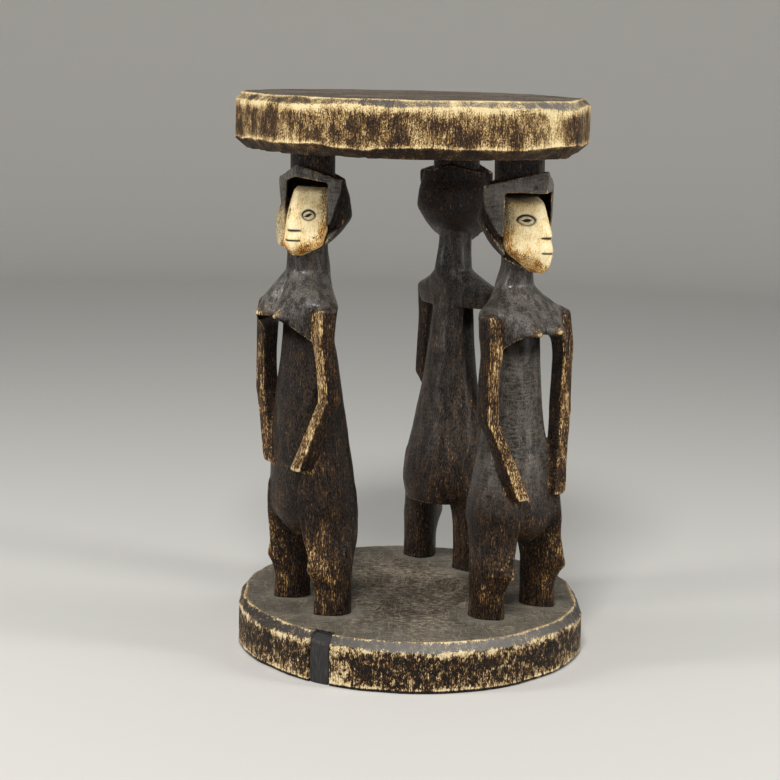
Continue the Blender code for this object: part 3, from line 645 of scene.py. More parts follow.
def disc(name, cut, material, node):
    grid, place = discSurface(cut)
    place = np.concatenate([place.ravel(), [0, 4.99]])
    zone, seed = np.floor(place), cut["seed"]
    mesh = solidMesh(name, [grid])
    points, normals, edges = readMesh(mesh)
    turn = np.arctan2(points[:, 1], points[:, 0])
    shallow = scoops(points, adze["scoop"], seed)
    lower = adze["waveHeight"] * drift(points, adze["wave"], seed + 5)
    lower = lower - adze["scoopDepth"] * (1 - shallow) * (zone == 2)
    lower = lower - adze["topDip"] * (zone >= 3) * (1 + drift(points, adze["topWave"], seed + 6))
    chips = ramp(drift(points, adze["chip"], seed + 7), 0.30, 0.8)
    corner = ramp(ridges(points, normals, edges, 6), 0.00004, 0.0004)
    crack = np.zeros(len(points))
    for bearing, where, share in cut["cracks"]:
        near = np.abs(fromBearing(turn, bearing)) < 0.0005
        crack = np.maximum(crack, near * (zone == where) * (place % 1 < share))
    lower = lower - adze["chipDepth"] * chips * corner - adze["skin"] - adze["crackDepth"] * crack
    moved = points + normals * lower[:, None]
    moved[:, 2] = np.clip(moved[:, 2], cut["low"], cut["high"])
    moved[:, 0] += cut["centre"]
    writePoints(mesh, moved)
    halo = np.zeros(len(points))
    if node == "base":  # dust lies round the feet; the top is also lighter grey towards the rim
        halo = np.maximum(feetDust(moved), 0.55 * ramp(np.hypot(points[:, 0], points[:, 1]), 0.060, 0.125))
    # painted highlight: the chamfer mark is strongest towards the given bearing, which faces the light
    front = 0.45 + 0.55 * np.exp(-(fromBearing(turn, cut["chamferSheen"]) / 0.9) ** 2)
    note(mesh, top=ramp(relax((zone == 4) * 1.0, edges, 1)[:, 0], 0.3, 0.8), chamfer=front * (zone == 3),
         edge=np.clip(discWear(cut, points, place), -0.4, 1), halo=halo, crack=crack)
    dress(name, mesh, material, node)


repairCut = dict(
    width=0.017, depth=0.010, sink=0.0008, topGap=0.0004,
    bump=(0.003, 0.003, 0.012), bumpHeight=0.0004, wave=0.008, waveHeight=0.0003,
)


def repairSurface():
    # rounded rectangle across the rim and up the base, carried outwards along the bearing of the let-in
    turn = np.linspace(0, 2 * math.pi, 160, endpoint=False)
    bearing = math.radians(baseCut["notch"]["bearing"])
    high = baseCut["high"] - repairCut["topGap"]
    sizes = np.concatenate([
        np.linspace(0.05, 1, 8), np.full(10, 1.0), np.linspace(1, 0.93, 5), np.linspace(0.9, 0.05, 14)])
    out = np.concatenate([np.zeros(8), np.linspace(0, 0.9, 10), np.linspace(0.92, 1, 5), np.ones(14)])
    reach = baseCut["radius"] - repairCut["depth"] + out * (repairCut["depth"] - repairCut["sink"])
    across, up = oval(turn, np.full(1, 1.0), np.full(1, 1.0), np.full(1, 1.0), 9, 7)
    across = across * sizes[:, None] * repairCut["width"] / 2
    up = high / 2 + up * sizes[:, None] * high / 2
    upper = ramp(up, baseCut["high"] - baseCut["chamfer"][1] * 1.2, baseCut["high"])
    reach = reach[:, None] - upper * baseCut["chamfer"][0] * (out[:, None] > 0.5)
    reach = np.sqrt(np.maximum(reach ** 2 - across ** 2, 0))
    x = stool["shift"] + reach * math.cos(bearing) - across * math.sin(bearing)
    y = reach * math.sin(bearing) + across * math.cos(bearing)
    return np.stack([x, y, up], axis=-1)


def repairBlock():
    mesh = solidMesh("repair_block", [repairSurface()])
    points, normals, edges = readMesh(mesh)
    bumps = repairCut["bumpHeight"] * drift(points, repairCut["bump"], 41)
    bumps = bumps + repairCut["waveHeight"] * drift(points, repairCut["wave"], 42) - repairCut["waveHeight"]
    writePoints(mesh, points + normals * bumps[:, None])
    note(mesh, edge=ramp(ridges(points, normals, edges, 4), 0.00003, 0.0003))
    dress("repair_block", mesh, repairFinish, "rim_repair")


# figures: each is carved in one piece from foot to crown, facing -y with its own left at +x, then set down
# trunk: share of the torso's height, half width, depth in front and behind
# arch: drop of the chest's lower edge at its sides, and how sharply it bends
# arms, right (-1) and left (1): how far forward shoulder, elbow and hand lie, and how far out the hand lies
# fullest: share of the face's height where the skull is widest, and its width there
# flaps, jaw: share of the face's height, and share of the full width there
# bedLow to faceHigh: half widths on the figure's right and left; wear of the arms goes the same way

# grey: share of the grey film on belly, chest and ripples, partly dust and partly painted sheen
figures = {
    "left": dict(
        bearing=208, distance=0.085, facing=217, headTurn=24, lean=(0.0, -0.008), seed=101,
        torso=0.1655, chestHeight=0.008, yokeHeight=0.0265, shoulderWidth=0.086,
        neckForward=0.0025, neckTop=0.92,
        trunk=((0.105, 0.036, 0.0290, 0.0310), (0.20, 0.0345, 0.0290, 0.0295), (0.36, 0.0318, 0.0283, 0.0268),
               (0.60, 0.0273, 0.0246, 0.0225), (0.80, 0.0230, 0.0195, 0.0190), (1.06, 0.019, 0.0148, 0.0115)),
        knee=0.007, hem=0.0, upperArm=0.066, forearm=0.053, arch=(0.0175, 1.7),
        arms={-1: (0.0120, 0.0140, 0.0235, 0.0150), 1: (0.0105, 0.0070, 0.0245, 0.0230)},
        band=0.0115, face=0.0525, capWidth=0.054, capReach=0.0195, skullReach=0.033, fullest=(0.52, 1.04),
        flaps=((0.38, 0.0), (0.47, 0.28), (0.58, 0.45), (0.73, 0.64), (0.88, 0.93), (0.98, 1.0)),
        roofLift=0.0022, roofSide=0.33, browArch=0.004,
        bedLow=(0.0172, 0.0187), bedHigh=(0.0140, 0.0187),
        faceLow=(0.0162, 0.0184), faceHigh=(0.0112, 0.0184),
        noseReach=0.0245, forehead=0.0152, eyes=0.556, nostrils=0.346, mouth=0.21,
        eyeLength=0.0092, eyeTilt=-0.40,
        jaw=((0.0, 0.26), (0.05, 0.50), (0.10, 0.80), (0.15, 0.97), (0.20, 1.0)),
        cheek=0.17, wash=0.8, wear=dict(arms=(0.60, 0.95), legs=0.64, trunk=0.10),
        grey=dict(trunk=0.05, chest=0.95, ripples=0.0)),
    "right": dict(
        bearing=331.7, distance=0.0886, facing=313, headTurn=-5, lean=(-0.004, 0.004), seed=202,
        torso=0.157, chestHeight=0.014, yokeHeight=0.021, shoulderWidth=0.084,
        neckForward=-0.0035, neckTop=0.80,
        trunk=((0.105, 0.036, 0.0276, 0.0345), (0.20, 0.0338, 0.0262, 0.0320), (0.36, 0.0290, 0.0228, 0.0272),
               (0.60, 0.0224, 0.0178, 0.0222), (0.80, 0.0208, 0.0168, 0.0190), (1.06, 0.0195, 0.016, 0.0115)),
        knee=0.011, hem=0.5, upperArm=0.075, forearm=0.060, arch=(0.0130, 3.0),
        arms={-1: (0.0105, 0.0070, 0.0240, 0.0200), 1: (0.0150, 0.0120, 0.0240, 0.0175)},
        band=0.0155, face=0.057, capWidth=0.067, capReach=0.031, skullReach=0.024, fullest=(0.64, 0.94),
        flaps=((0.45, 0.0), (0.58, 0.42), (0.68, 0.64), (0.83, 0.90), (0.95, 1.0)),
        roofLift=0.002, roofSide=0.25, browArch=0.0005,
        bedLow=(0.0217, 0.0240), bedHigh=(0.0217, 0.0252),
        faceLow=(0.0192, 0.0210), faceHigh=(0.0200, 0.0200),
        noseReach=0.0350, forehead=0.0240, eyes=0.667, nostrils=0.453, mouth=0.262,
        eyeLength=0.0122, eyeTilt=0.18,
        jaw=((0.0, 0.12), (0.03, 0.22), (0.14, 0.56), (0.24, 0.88), (0.31, 1.0)),
        cheek=0.0, wash=0.0, wear=dict(arms=(0.78, 0.68), legs=0.55, trunk=0.08),
        grey=dict(trunk=0.48, chest=1.0, ripples=0.8)),
    "back": dict(
        bearing=72.5, distance=0.0922, facing=47, headTurn=28, lean=(-0.001, 0.0), seed=303,
        torso=0.157, chestHeight=0.013, yokeHeight=0.018, shoulderWidth=0.086,
        neckForward=0.0, neckTop=0.85,
        trunk=((0.105, 0.036, 0.0276, 0.0324), (0.20, 0.0343, 0.0263, 0.0306), (0.36, 0.0301, 0.0234, 0.0263),
               (0.60, 0.0232, 0.0192, 0.0205), (0.80, 0.0190, 0.0168, 0.0170), (1.06, 0.016, 0.0150, 0.0115)),
        knee=0.009, hem=1.0, upperArm=0.072, forearm=0.054, arch=(0.0140, 2.4),
        arms={-1: (0.0105, 0.0090, 0.0260, 0.0190), 1: (0.0105, 0.0090, 0.0260, 0.0190)},
        band=0.0135, face=0.0555, capWidth=0.060, capReach=0.025, skullReach=0.029, fullest=(0.58, 1.0),
        flaps=((0.42, 0.0), (0.55, 0.4), (0.70, 0.65), (0.86, 0.92), (0.97, 1.0)),
        roofLift=0.002, roofSide=0.28, browArch=0.002,
        bedLow=(0.0215, 0.0215), bedHigh=(0.0205, 0.0205),
        faceLow=(0.0212, 0.0212), faceHigh=(0.0190, 0.0190),
        noseReach=0.033, forehead=0.0200, eyes=0.61, nostrils=0.40, mouth=0.24,
        eyeLength=0.0108, eyeTilt=0.1,
        jaw=((0.0, 0.18), (0.04, 0.32), (0.13, 0.62), (0.24, 0.90), (0.32, 1.0)),
        cheek=0.0, wash=0.0, wear=dict(arms=(0.75, 0.75), legs=0.44, trunk=0.20),
        grey=dict(trunk=0.2, chest=0.6, ripples=0.0)),
}
build = dict(  # what the three figures share
    legSpread=0.055, legWidth=0.027, legDepth=0.029, legBack=-0.0005, legLength=0.056,
    hipWidth=0.072, hipDepth=0.060, groinRise=0.022, shoulderForward=0.004,
    chestFront=0.0180, chestBack=0.0175, chestHollow=0.006, chestLip=0.0008,
    breastSpacing=0.023, breastReach=0.0345, breastOut=0.026, breastIn=0.019,
    archStart=0.011, archSpan=0.022, archHeight=0.012,
    armWidth=0.0122, armDepth=0.0142, neckWidth=0.0275, neckBack=0.003, crownInset=0.62, roofBack=0.12,
    capBack=0.0045, bedFloor=0.0003,
    eyeHeight=0.0036, mouthHeight=0.00065, mouthDepth=0.0012, eyeSwell=0.0006,
    voxel=0.00102, gouge=(0.008, 0.008, 0.017), gougeDepth=0.0003,
    wave=(0.012, 0.012, 0.03), waveHeight=0.00035,
    fibre=(0.0025, 0.0025, 0.012), fibreHeight=0.00012, chip=0.005, chipDepth=0.0006,
)
roundTurn = np.linspace(0, 2 * math.pi, 96, endpoint=False)


def heights(plan):  # chest, brow and chin of a figure
    chest = stool["crotchZ"] + plan["torso"]
    brow = stool["capZ"] - plan["band"]
    return chest, brow, brow - plan["face"]


def legSurfaces(plan):
    # posts whose oval sections swell to a pointed knee and lean in under the hip
    width = build["legWidth"] / 2
    front, back = build["legDepth"] * 0.53, build["legDepth"] * 0.47
    knee = front + plan["knee"]
    apart, hip, hem = build["legSpread"] / 2, build["hipWidth"] / 2 - build["legWidth"] / 2, plan["hem"]
    rows = [  # share of the leg's length, place of its middle line, half width, depth in front and behind
        (-0.02, apart, width * 0.99, front * 1.03, back * 1.02),
        (0.06, apart, width * 0.98, front * 1.02, back),
        (0.26, apart, width * 0.97, front * 1.0, back),
        (0.48, apart, width * 1.0, between(front, knee, 0.42), back * 1.02),
        (0.62, apart, width * 1.01, knee, back * 1.05),
        (0.78, between(apart, hip, 0.2), width * 1.02, between(front, knee, 0.84),
         back * between(1.24, 1.08, hem)),
        (1.02, between(apart, hip, 0.7), width, front * 1.56, back * between(1.60, 1.35, hem)),
        (1.32, hip * 0.98, width, front * 1.70, back * 1.75),
        (1.62, hip * 0.90, width * 0.95, front * 1.70, back * 1.80),
        (1.90, hip * 0.75, width * 0.75, front * 1.35, back * 1.40),
    ]
    level = np.linspace(-0.015, 1.90, 90)
    middle, half, fore, aft = along(rows, level)
    z = stool["footZ"] + build["legLength"] * level
    z[0] = stool["footZ"] - stool["sunk"]
    x, y = oval(roundTurn, half, fore, aft, 1.40, 2.8)
    return [stack(x + side * middle[:, None], y + build["legBack"], z) for side in (-1, 1)]


def trunkSurface(plan):
    # long tapering trunk: its lowest rings are lifted to both sides in front, into a V between the legs
    hip, hem = build["hipWidth"] / 2, plan["hem"]
    hipFront, hipBack = build["hipDepth"] * 0.46, build["hipDepth"] * 0.54
    rows = [  # share of the torso's height, half width, depth in front and behind, share of the lift
        (-0.012, hip * between(0.58, 0.82, hem), hipFront * 0.50, hipBack * between(0.78, 0.99, hem), 1.0),
        (0.030, hip * 0.90, hipFront * 0.82, hipBack * between(0.95, 1.02, hem), 0.75)]
    rows += [(*row, 0.25 if row[0] < 0.15 else 0.0) for row in plan["trunk"]]
    level = np.linspace(-0.012, 1.06, 110)
    half, fore, aft, rise = along(rows, level)
    x, y = oval(roundTurn, half, fore, aft, 2.2, 2.5)
    forward = np.clip(0.4 - 0.6 * y / hipFront, 0, 1)
    lift = build["groinRise"] * rise[:, None] * forward * np.abs(x) / hip
    z = stool["crotchZ"] + plan["torso"] * level
    return stack(x, y, z[:, None] + lift)


def chestSurface(plan):
    # overhanging chest with two tent-shaped points, arched underneath between the arms, drawn up to the neck
    chestZ, browZ, chinZ = heights(plan)
    shoulder, neck = plan["shoulderWidth"] / 2, build["neckWidth"] / 2
    shoulderZ, yoke = chestZ + plan["chestHeight"], plan["yokeHeight"]
    neckZ = shoulderZ + yoke
    front, back = build["chestFront"], build["chestBack"]
    slim, ahead = plan["neckTop"], plan["neckForward"]
    upperNeck = (neck * slim, neck * 0.92 * slim + ahead, (neck + build["neckBack"]) * slim)
    rows = [  # height, half width, depth in front and behind
        (chestZ, shoulder * 0.82, front * 0.95, back * 0.66),
        (chestZ + 0.003, shoulder * 0.86, front, back * 0.70),
        (shoulderZ + 0.001, shoulder * 0.94, front * 0.94, back * 0.70),
        (shoulderZ + yoke * 0.36, between(shoulder, neck, 0.42), front * 0.88, back * 0.80),
        (shoulderZ + yoke * 0.68, between(shoulder, neck, 0.78), front * 0.80, back * 0.95),
        (neckZ, neck * 1.04, neck * 0.98 + ahead, neck * 1.05 + build["neckBack"]),
        (between(chinZ, browZ, 0.10), *upperNeck),
        (between(chinZ, browZ, 0.45), *upperNeck),
    ]
    z = np.linspace(chestZ, rows[-1][0], 100)
    half, fore, aft = along(rows, z)
    fall = np.clip((neckZ - z) / (neckZ - chestZ - 0.003), 0, 1) ** 1.2
    reach = between(neck * 0.98 + ahead, build["breastReach"], fall)
    reach = reach - build["chestLip"] * (z < chestZ + 0.001)
    turn = np.linspace(0, 2 * math.pi, 240, endpoint=False)
    forward = (build["shoulderForward"] * np.clip((neckZ - z) / yoke, 0, 1))[:, None]
    x, y = oval(turn, half, fore, aft + forward[:, 0], 2.3, 2.0)
    off = np.abs(x) - build["breastSpacing"] / 2
    off = off / np.where(off > 0, build["breastOut"], build["breastIn"])
    tent = np.maximum(0, 1 - np.sqrt(off ** 2 + 0.008) + 0.06)
    y = np.where(y < 0, y - np.maximum(reach - fore, 0)[:, None] * tent, y)
    archDrop, archBend = plan["arch"]
    bend = np.clip((np.abs(x) - build["archStart"]) / build["archSpan"], 0, 1)
    lower = np.clip(1 - (z - chestZ) / build["archHeight"], 0, 1)[:, None]
    drop = archDrop * bend ** archBend * lower * ramp(-y, -0.002, 0.007)  # in front only
    grid = stack(x, y - forward, z[:, None] - drop)
    under = grid[:1] * (0.5, 0.5, 0) + (0, 0, chestZ + build["chestHollow"])
    return np.concatenate([under, grid])


def armRows(plan, side):
    # height, middle line (x, y), thickness and depth of an arm, from the hand up to the shoulder
    chestZ = heights(plan)[0]
    outside = plan["shoulderWidth"] / 2 - build["armWidth"] / 2
    shoulderZ, yoke = chestZ + plan["chestHeight"], plan["yokeHeight"]
    elbowZ = shoulderZ - plan["upperArm"]
    forward, elbow, hand, inward = plan["arms"][side]
    rows = []
    for part, thick, deep in ((1.015, 0.62, 0.55), (1.0, 0.95, 0.85), (0.95, 1.06, 0.97), (0.80, 1.04, 0.98),
                              (0.5, 0.99, 0.98), (0.14, 1.0, 1.02)):
        rows.append((elbowZ - plan["forearm"] * part, between(outside, inward, min(part, 1.0)),
                     -between(elbow, hand, min(part, 1.0)), thick, deep))
    rows += [
        (elbowZ, outside, -elbow, 1.04, 1.06),
        (between(shoulderZ, elbowZ, 0.6), outside * 1.01, -between(forward, elbow, 0.5), 1.0, 1.0),
        (chestZ - 0.013, outside * 0.99, -forward, 1.08, 1.02),
        (chestZ, outside * 0.97, -forward * 0.9, 1.22, 1.08),
        (shoulderZ, outside * 0.965, -forward * 0.75, 1.15, 1.08),
        (shoulderZ + yoke * 0.12, outside * 0.90, -forward * 0.6, 1.0, 0.95),
        (shoulderZ + yoke * 0.28, outside * 0.72, -forward * 0.45, 0.8, 0.8),
    ]
    return rows


def armSurfaces(plan):
    # squared oval section carried along the arm: down to the elbow, then in to lay the hand on the belly
    made = []
    for side in (-1, 1):
        rows = armRows(plan, side)
        z = np.linspace(rows[0][0], rows[-1][0], 130)
        x0, y0, thick, deep = along(rows, z)
        depth = deep * build["armDepth"] / 2
        x, y = oval(roundTurn, thick * build["armWidth"] / 2, depth, depth, 4.6, 4.0)
        made.append(stack(x + side * x0[:, None], y + y0[:, None], z))
    return made


def bedDepth(plan, z):  # how far forward the floor of the face's bed lies at a height
    browZ, chinZ = heights(plan)[1:]
    low = between(chinZ, browZ, 0.34)
    return -build["bedFloor"] - plan["noseReach"] * 0.45 * np.clip((low - z) / (low - chinZ), 0, 1)


def bedHalf(plan, x, z):  # half width of the face's bed: it can be narrower on the figure's right or left
    browZ, chinZ = heights(plan)[1:]
    upper = ramp(z, between(chinZ, browZ, 0.35), browZ)
    right, left = (between(plan["bedLow"][n], plan["bedHigh"][n], upper) for n in (0, 1))
    return np.where(x < 0, right, left)


def hollowOut(plan, x, y, z):
    # pushes the front of a ring back to the bed where the face lies, under an arched brow
    browZ = heights(plan)[1]
    half = bedHalf(plan, x, z)
    under = z < browZ + plan["browArch"] * (1 - np.abs(x) / half)
    bed = bedDepth(plan, z)
    return np.where((np.abs(x) < half) & under & (y < bed), bed, y)


def roofHeight(plan, x, y):  # top of the cap: a ridge over the brow that falls to both sides and backwards
    fall = plan["roofSide"] * np.abs(x) + build["roofBack"] * (y + plan["capReach"])
    return stool["capZ"] + plan["roofLift"] - fall


def capSurface(plan):
    # wedge-fronted cap: two planes meet in a ridge over the brow, and tapering flaps hang beside the face
    browZ, chinZ = heights(plan)[1:]
    half, reach = plan["capWidth"] / 2, plan["capReach"]
    inner = max(plan["bedLow"]) / half
    rows = [(level, between(inner, 1, share)) for level, share in plan["flaps"]] + [(1.6, 0.99)]
    low = between(chinZ, browZ, rows[0][0])
    z = np.unique(np.concatenate([np.linspace(low, stool["capZ"] + plan["roofLift"], 120),
                                  browZ + np.linspace(-0.0005, plan["browArch"] + 0.0005, 24)]))
    across = along(rows, (z - chinZ) / (browZ - chinZ))[0]
    turn = np.linspace(0, 2 * math.pi, 480, endpoint=False)
    c, s = np.cos(turn), np.sin(turn)
    x = half * across[:, None] * np.sign(c) * np.where(s > 0, np.abs(c) ** 0.5, c ** 2)
    y = np.where(s > 0, build["capBack"] * np.abs(s) ** 0.5, -reach * (1 - np.abs(x) / half))
    z = np.broadcast_to(z[:, None], x.shape)
    y = hollowOut(plan, x, y, z)
    return np.stack([x, y, np.minimum(z, roofHeight(plan, x, y))], axis=-1)


def skullSurface(plan):
    # rounded skull behind the cap, fullest at the ears, running down and forward to the jaw under the chin
    browZ, chinZ = heights(plan)[1:]
    half, skull = plan["capWidth"] / 2, plan["skullReach"]
    full, wide = plan["fullest"]
    chin = -plan["noseReach"] * 0.60
    rows = [  # share of the face's height, share of the width, share of the depth behind
        (0.0, 0.36, 0.0), (full * 0.16, 0.56, 0.16), (full * 0.36, 0.73, 0.46), (full * 0.66, 0.88, 0.82),
        (full, 1.0, 1.0), (between(full, 1, 0.5), 0.96, 0.88), (1.0, 0.86, 0.62), (1.35, 0.78, 0.50)]
    z = np.linspace(chinZ, stool["capZ"] - 0.001, 110)
    level = (z - chinZ) / (browZ - chinZ)
    across, aft = along(rows, level)
    rest = 0.22 * skull
    middle = between(chin, rest, np.clip(level / full, 0, 1))
    fore = np.maximum(middle - bedDepth(plan, z) + 0.0006, 0.003)
    fore = np.where(level > full, between(fore, rest - 0.002, np.clip((level - full) / 0.2, 0, 1)), fore)
    back = np.maximum(between(0.004, skull - rest, aft) + np.maximum(rest - middle, 0) * aft, 0.003)
    turn = np.linspace(0, 2 * math.pi, 300, endpoint=False)
    x, y = oval(turn, half * wide * across, fore, back, 2.4, 2.1)
    bulge = ramp(level, 0.0, 0.12) * (1 - ramp(level, 0.42, 0.75))
    x = x * (1 + plan["cheek"] * (x < 0) * bulge[:, None])
    z = np.broadcast_to(z[:, None], x.shape)
    y = hollowOut(plan, x, y + middle[:, None], z)
    return np.stack([x, y, np.minimum(z, roofHeight(plan, x, y) - 0.0005)], axis=-1)


def crownSurface(plan):
    # block on the head that carries the seat: the cap's outline drawn in on every side
    z = np.linspace(heights(plan)[1] + 0.0006, stool["crownZ"] + stool["sunk"], 30)
    half, front, back = (np.full_like(z, size * build["crownInset"]) for size in (
        plan["capWidth"] / 2, plan["capReach"], plan["skullReach"]))
    x, y = oval(roundTurn, half, front, back, 1.4, 2.4)
    return stack(x, y, z)


def turned(points, turn):  # turns points about the upright axis
    x, y, z = np.moveaxis(points, -1, 0)
    c, s = math.cos(turn), math.sin(turn)
    return np.stack([x * c - y * s, x * s + y * c, z], axis=-1)


def turnHead(plan, points, way=1):  # turns a part of the head on the body, or with -1 turns it back
    return turned(points, math.radians(plan["headTurn"]) * way)


def leanOver(plan, points, way=1):  # the trunk leans: hips stay, everything above the chest moves by the lean
    share = np.clip((points[..., 2] - stool["crotchZ"]) / plan["torso"], 0, 1)
    return points + way * share[..., None] * np.array([*plan["lean"], 0])


def setOnBase(plan, points):  # turns a figure the way it faces and moves it to its place
    bearing, out = math.radians(plan["bearing"]), plan["distance"]
    place = (out * math.cos(bearing) + stool["shift"], out * math.sin(bearing), 0)
    return turned(points, math.radians(plan["facing"] - 270)) + place


def weld(name, grids):  # overlapping solids become one skin of even small faces
    rough = bpy.data.objects.new(name, solidMesh(name, grids))
    bpy.context.scene.collection.objects.link(rough)
    skin = rough.modifiers.new("skin", "REMESH")
    skin.mode, skin.voxel_size = "VOXEL", build["voxel"]
    graph = bpy.context.evaluated_depsgraph_get()
    mesh = bpy.data.meshes.new_from_object(rough.evaluated_get(graph))
    bpy.data.objects.remove(rough)
    return mesh


def armZones(plan, points):  # nearness to an arm, and how much of it is rubbed by handling
    x, y, z = points.T
    arm, handled = np.zeros(len(points)), np.zeros(len(points))
    for side, rubbed in zip((-1, 1), plan["wear"]["arms"]):
        rows = np.array(armRows(plan, side))
        low = rows[0, 0]
        ax, ay = (np.interp(z, rows[:, 0], rows[:, n]) for n in (1, 2))
        far = np.hypot((side * x - ax) / build["armWidth"], (y - ay) / build["armDepth"])
        near = (1 - ramp(far, 0.62, 0.85)) * ramp(z, low - 0.004, low)
        arm, handled = np.maximum(arm, near), np.maximum(handled, near * rubbed)
    shoulderZ = heights(plan)[0] + plan["chestHeight"]
    below = 1 - ramp(z, shoulderZ - 0.004, shoulderZ + 0.006)
    return arm * below, handled * below


def figureZones(plan, points, normals):
    # wear, grey film (dust and painted sheen), comb marks, painted shade and clay wash of each place, from
    # where it lies on the body
    chestZ, browZ, chinZ = heights(plan)
    x, y, z = points.T
    wear, grey, crotchZ = plan["wear"], plan["grey"], stool["crotchZ"]
    arm, handled = armZones(plan, points)
    leg = 1 - ramp(z, crotchZ - 0.010, crotchZ + 0.030)
    hx, hy, hz = turnHead(plan, points, -1).T
    head = ramp(z, chinZ + 0.002, chinZ + 0.008) * ramp(np.hypot(hx, hy - 0.003), 0.015, 0.019)
    head = np.maximum(head, ramp(z, browZ - 0.01, browZ))
    capFront = plan["capReach"] * (1 - np.abs(hx) / plan["capWidth"] * 2)
    combed = head * (hy < 0.0015 - capFront)
    flap = ramp(np.abs(x), 0.0205, 0.0225) * ramp(z, chestZ - 0.018, chestZ - 0.014)  # sides of the arch
    chest = np.maximum(ramp(z, chestZ - 0.002, chestZ + 0.004), flap) * (1 - head) * (1 - arm)
    trunk = np.clip(1 - arm - leg - chest - head, 0, 1)
    fromTip = (np.abs(x) - build["breastSpacing"] / 2) ** 2 + (z - chestZ - 0.003) ** 2
    tips = np.exp(-fromTip / 0.006 ** 2) * (y < -0.02)
    ahead = ramp(-normals[:, 1], 0.1, 0.75)
    worn = handled * (0.25 + 0.75 * ahead) + leg * wear["legs"] * (0.5 + 0.5 * ahead) * ramp(z, 0.02, 0.07)
    worn += trunk * wear["trunk"] + chest * (0.05 + 0.8 * tips)
    belly = trunk * ramp(z, crotchZ + 0.012, crotchZ + 0.062)
    slopeHighlight = 0.30 + 0.70 * ramp(normals[:, 2], 0.05, 0.55)  # painted highlight: the grey film is lighter on upward slopes, which face the light
    # the grey film on belly and chest is partly dust and partly painted sheen
    dustAndSheen = belly * grey["trunk"] + chest * grey["chest"] * slopeHighlight + combed * 0.55 + leg * 0.05
    level = (hz - chinZ) / (browZ - chinZ)
    inside = (hy < 0.002) & (np.abs(hx) < bedHalf(plan, hx, hz) + 0.0010)
    inside = inside & (hz < browZ + plan["browArch"] + 0.002) & (level > 0.76)
    # painted shade: near black in the face's bed behind the cap's front, and on the trunk under the
    # overhanging chest, where their shadows fall
    dark = np.maximum(inside * ramp(hy + capFront, 0.0015, 0.0045),
                      0.85 * trunk * ramp(z, chestZ - 0.024, chestZ - 0.009) * (normals[:, 1] < 0.3))
    wash = plan["wash"] * (hx < 0) * ramp(level, 0.02, 0.10) * (1 - ramp(level, 0.50, 0.72))
    wash = wash * (1 - ramp(hy, 0.004, 0.010)) * ramp(np.abs(hx), 0.0155, 0.0175)
    return worn, dustAndSheen, np.maximum(combed, belly * grey["ripples"]), dark, wash


def figureBody(name, plan):
    cap, skull, crown = (turnHead(plan, part(plan)) for part in (capSurface, skullSurface, crownSurface))
    limbs = [*armSurfaces(plan), *legSurfaces(plan)]
    grids = [trunkSurface(plan), chestSurface(plan), *limbs, cap, skull, crown]
    mesh = weld(name + "_carving", [leanOver(plan, grid) for grid in grids])
    points, normals, edges = readMesh(mesh)
    points = smooth(relax(points, edges, 1, 0.4), edges, 4)
    hip = np.exp(-((points[:, 2] - stool["crotchZ"] - 0.020) / 0.020) ** 2)  # thighs run softly into the hips
    hip = hip * ramp(np.abs(points[:, 0]), 0.008, 0.020)
    writePoints(mesh, between(points, relax(points, edges, 14), hip[:, None]))
    points, normals, edges = readMesh(mesh)
    seed = plan["seed"]
    sharp = ridges(points, normals, edges, 6)
    lower = -build["gougeDepth"] * (1 - scoops(points, build["gouge"], seed))
    lower = lower + build["waveHeight"] * drift(points, build["wave"], seed + 1)
    lower += build["fibreHeight"] * drift(points, build["fibre"], seed + 2)
    chips = ramp(drift(points, build["chip"], seed + 3), 0.3, 0.9)
    lower -= build["chipDepth"] * chips * ramp(sharp, 0.0002, 0.0006)
    free = ramp(points[:, 2], stool["footZ"], stool["footZ"] + 0.002)  # soles and crown stay flat
    free *= 1 - ramp(points[:, 2], stool["crownZ"] - 0.002, stool["crownZ"])
    points = points + normals * (lower * free)[:, None]
    worn, grey, combed, dark, clayed = figureZones(plan, leanOver(plan, points, -1), normals)
    writePoints(mesh, setOnBase(plan, points))
    exposed = ramp(points[:, 2], stool["footZ"] + 0.001, stool["footZ"] + 0.004)  # sole rims stay dark
    # the hollow mark is near black in hollows and also carries the painted shade under the chest and behind
    # the cap band
    note(mesh, worn=worn, grey=grey, combed=combed, clayed=clayed,
         edge=ramp(sharp, 0.00010, 0.00042) * (1 - dark) * exposed,
         hollow=np.maximum(ramp(-ridges(points, normals, edges, 8), 0.0003, 0.0014), dark))
    dress(name + "_carving", mesh, patina, name + "_figure")
    print(name, "figure:", len(mesh.polygons), "faces")


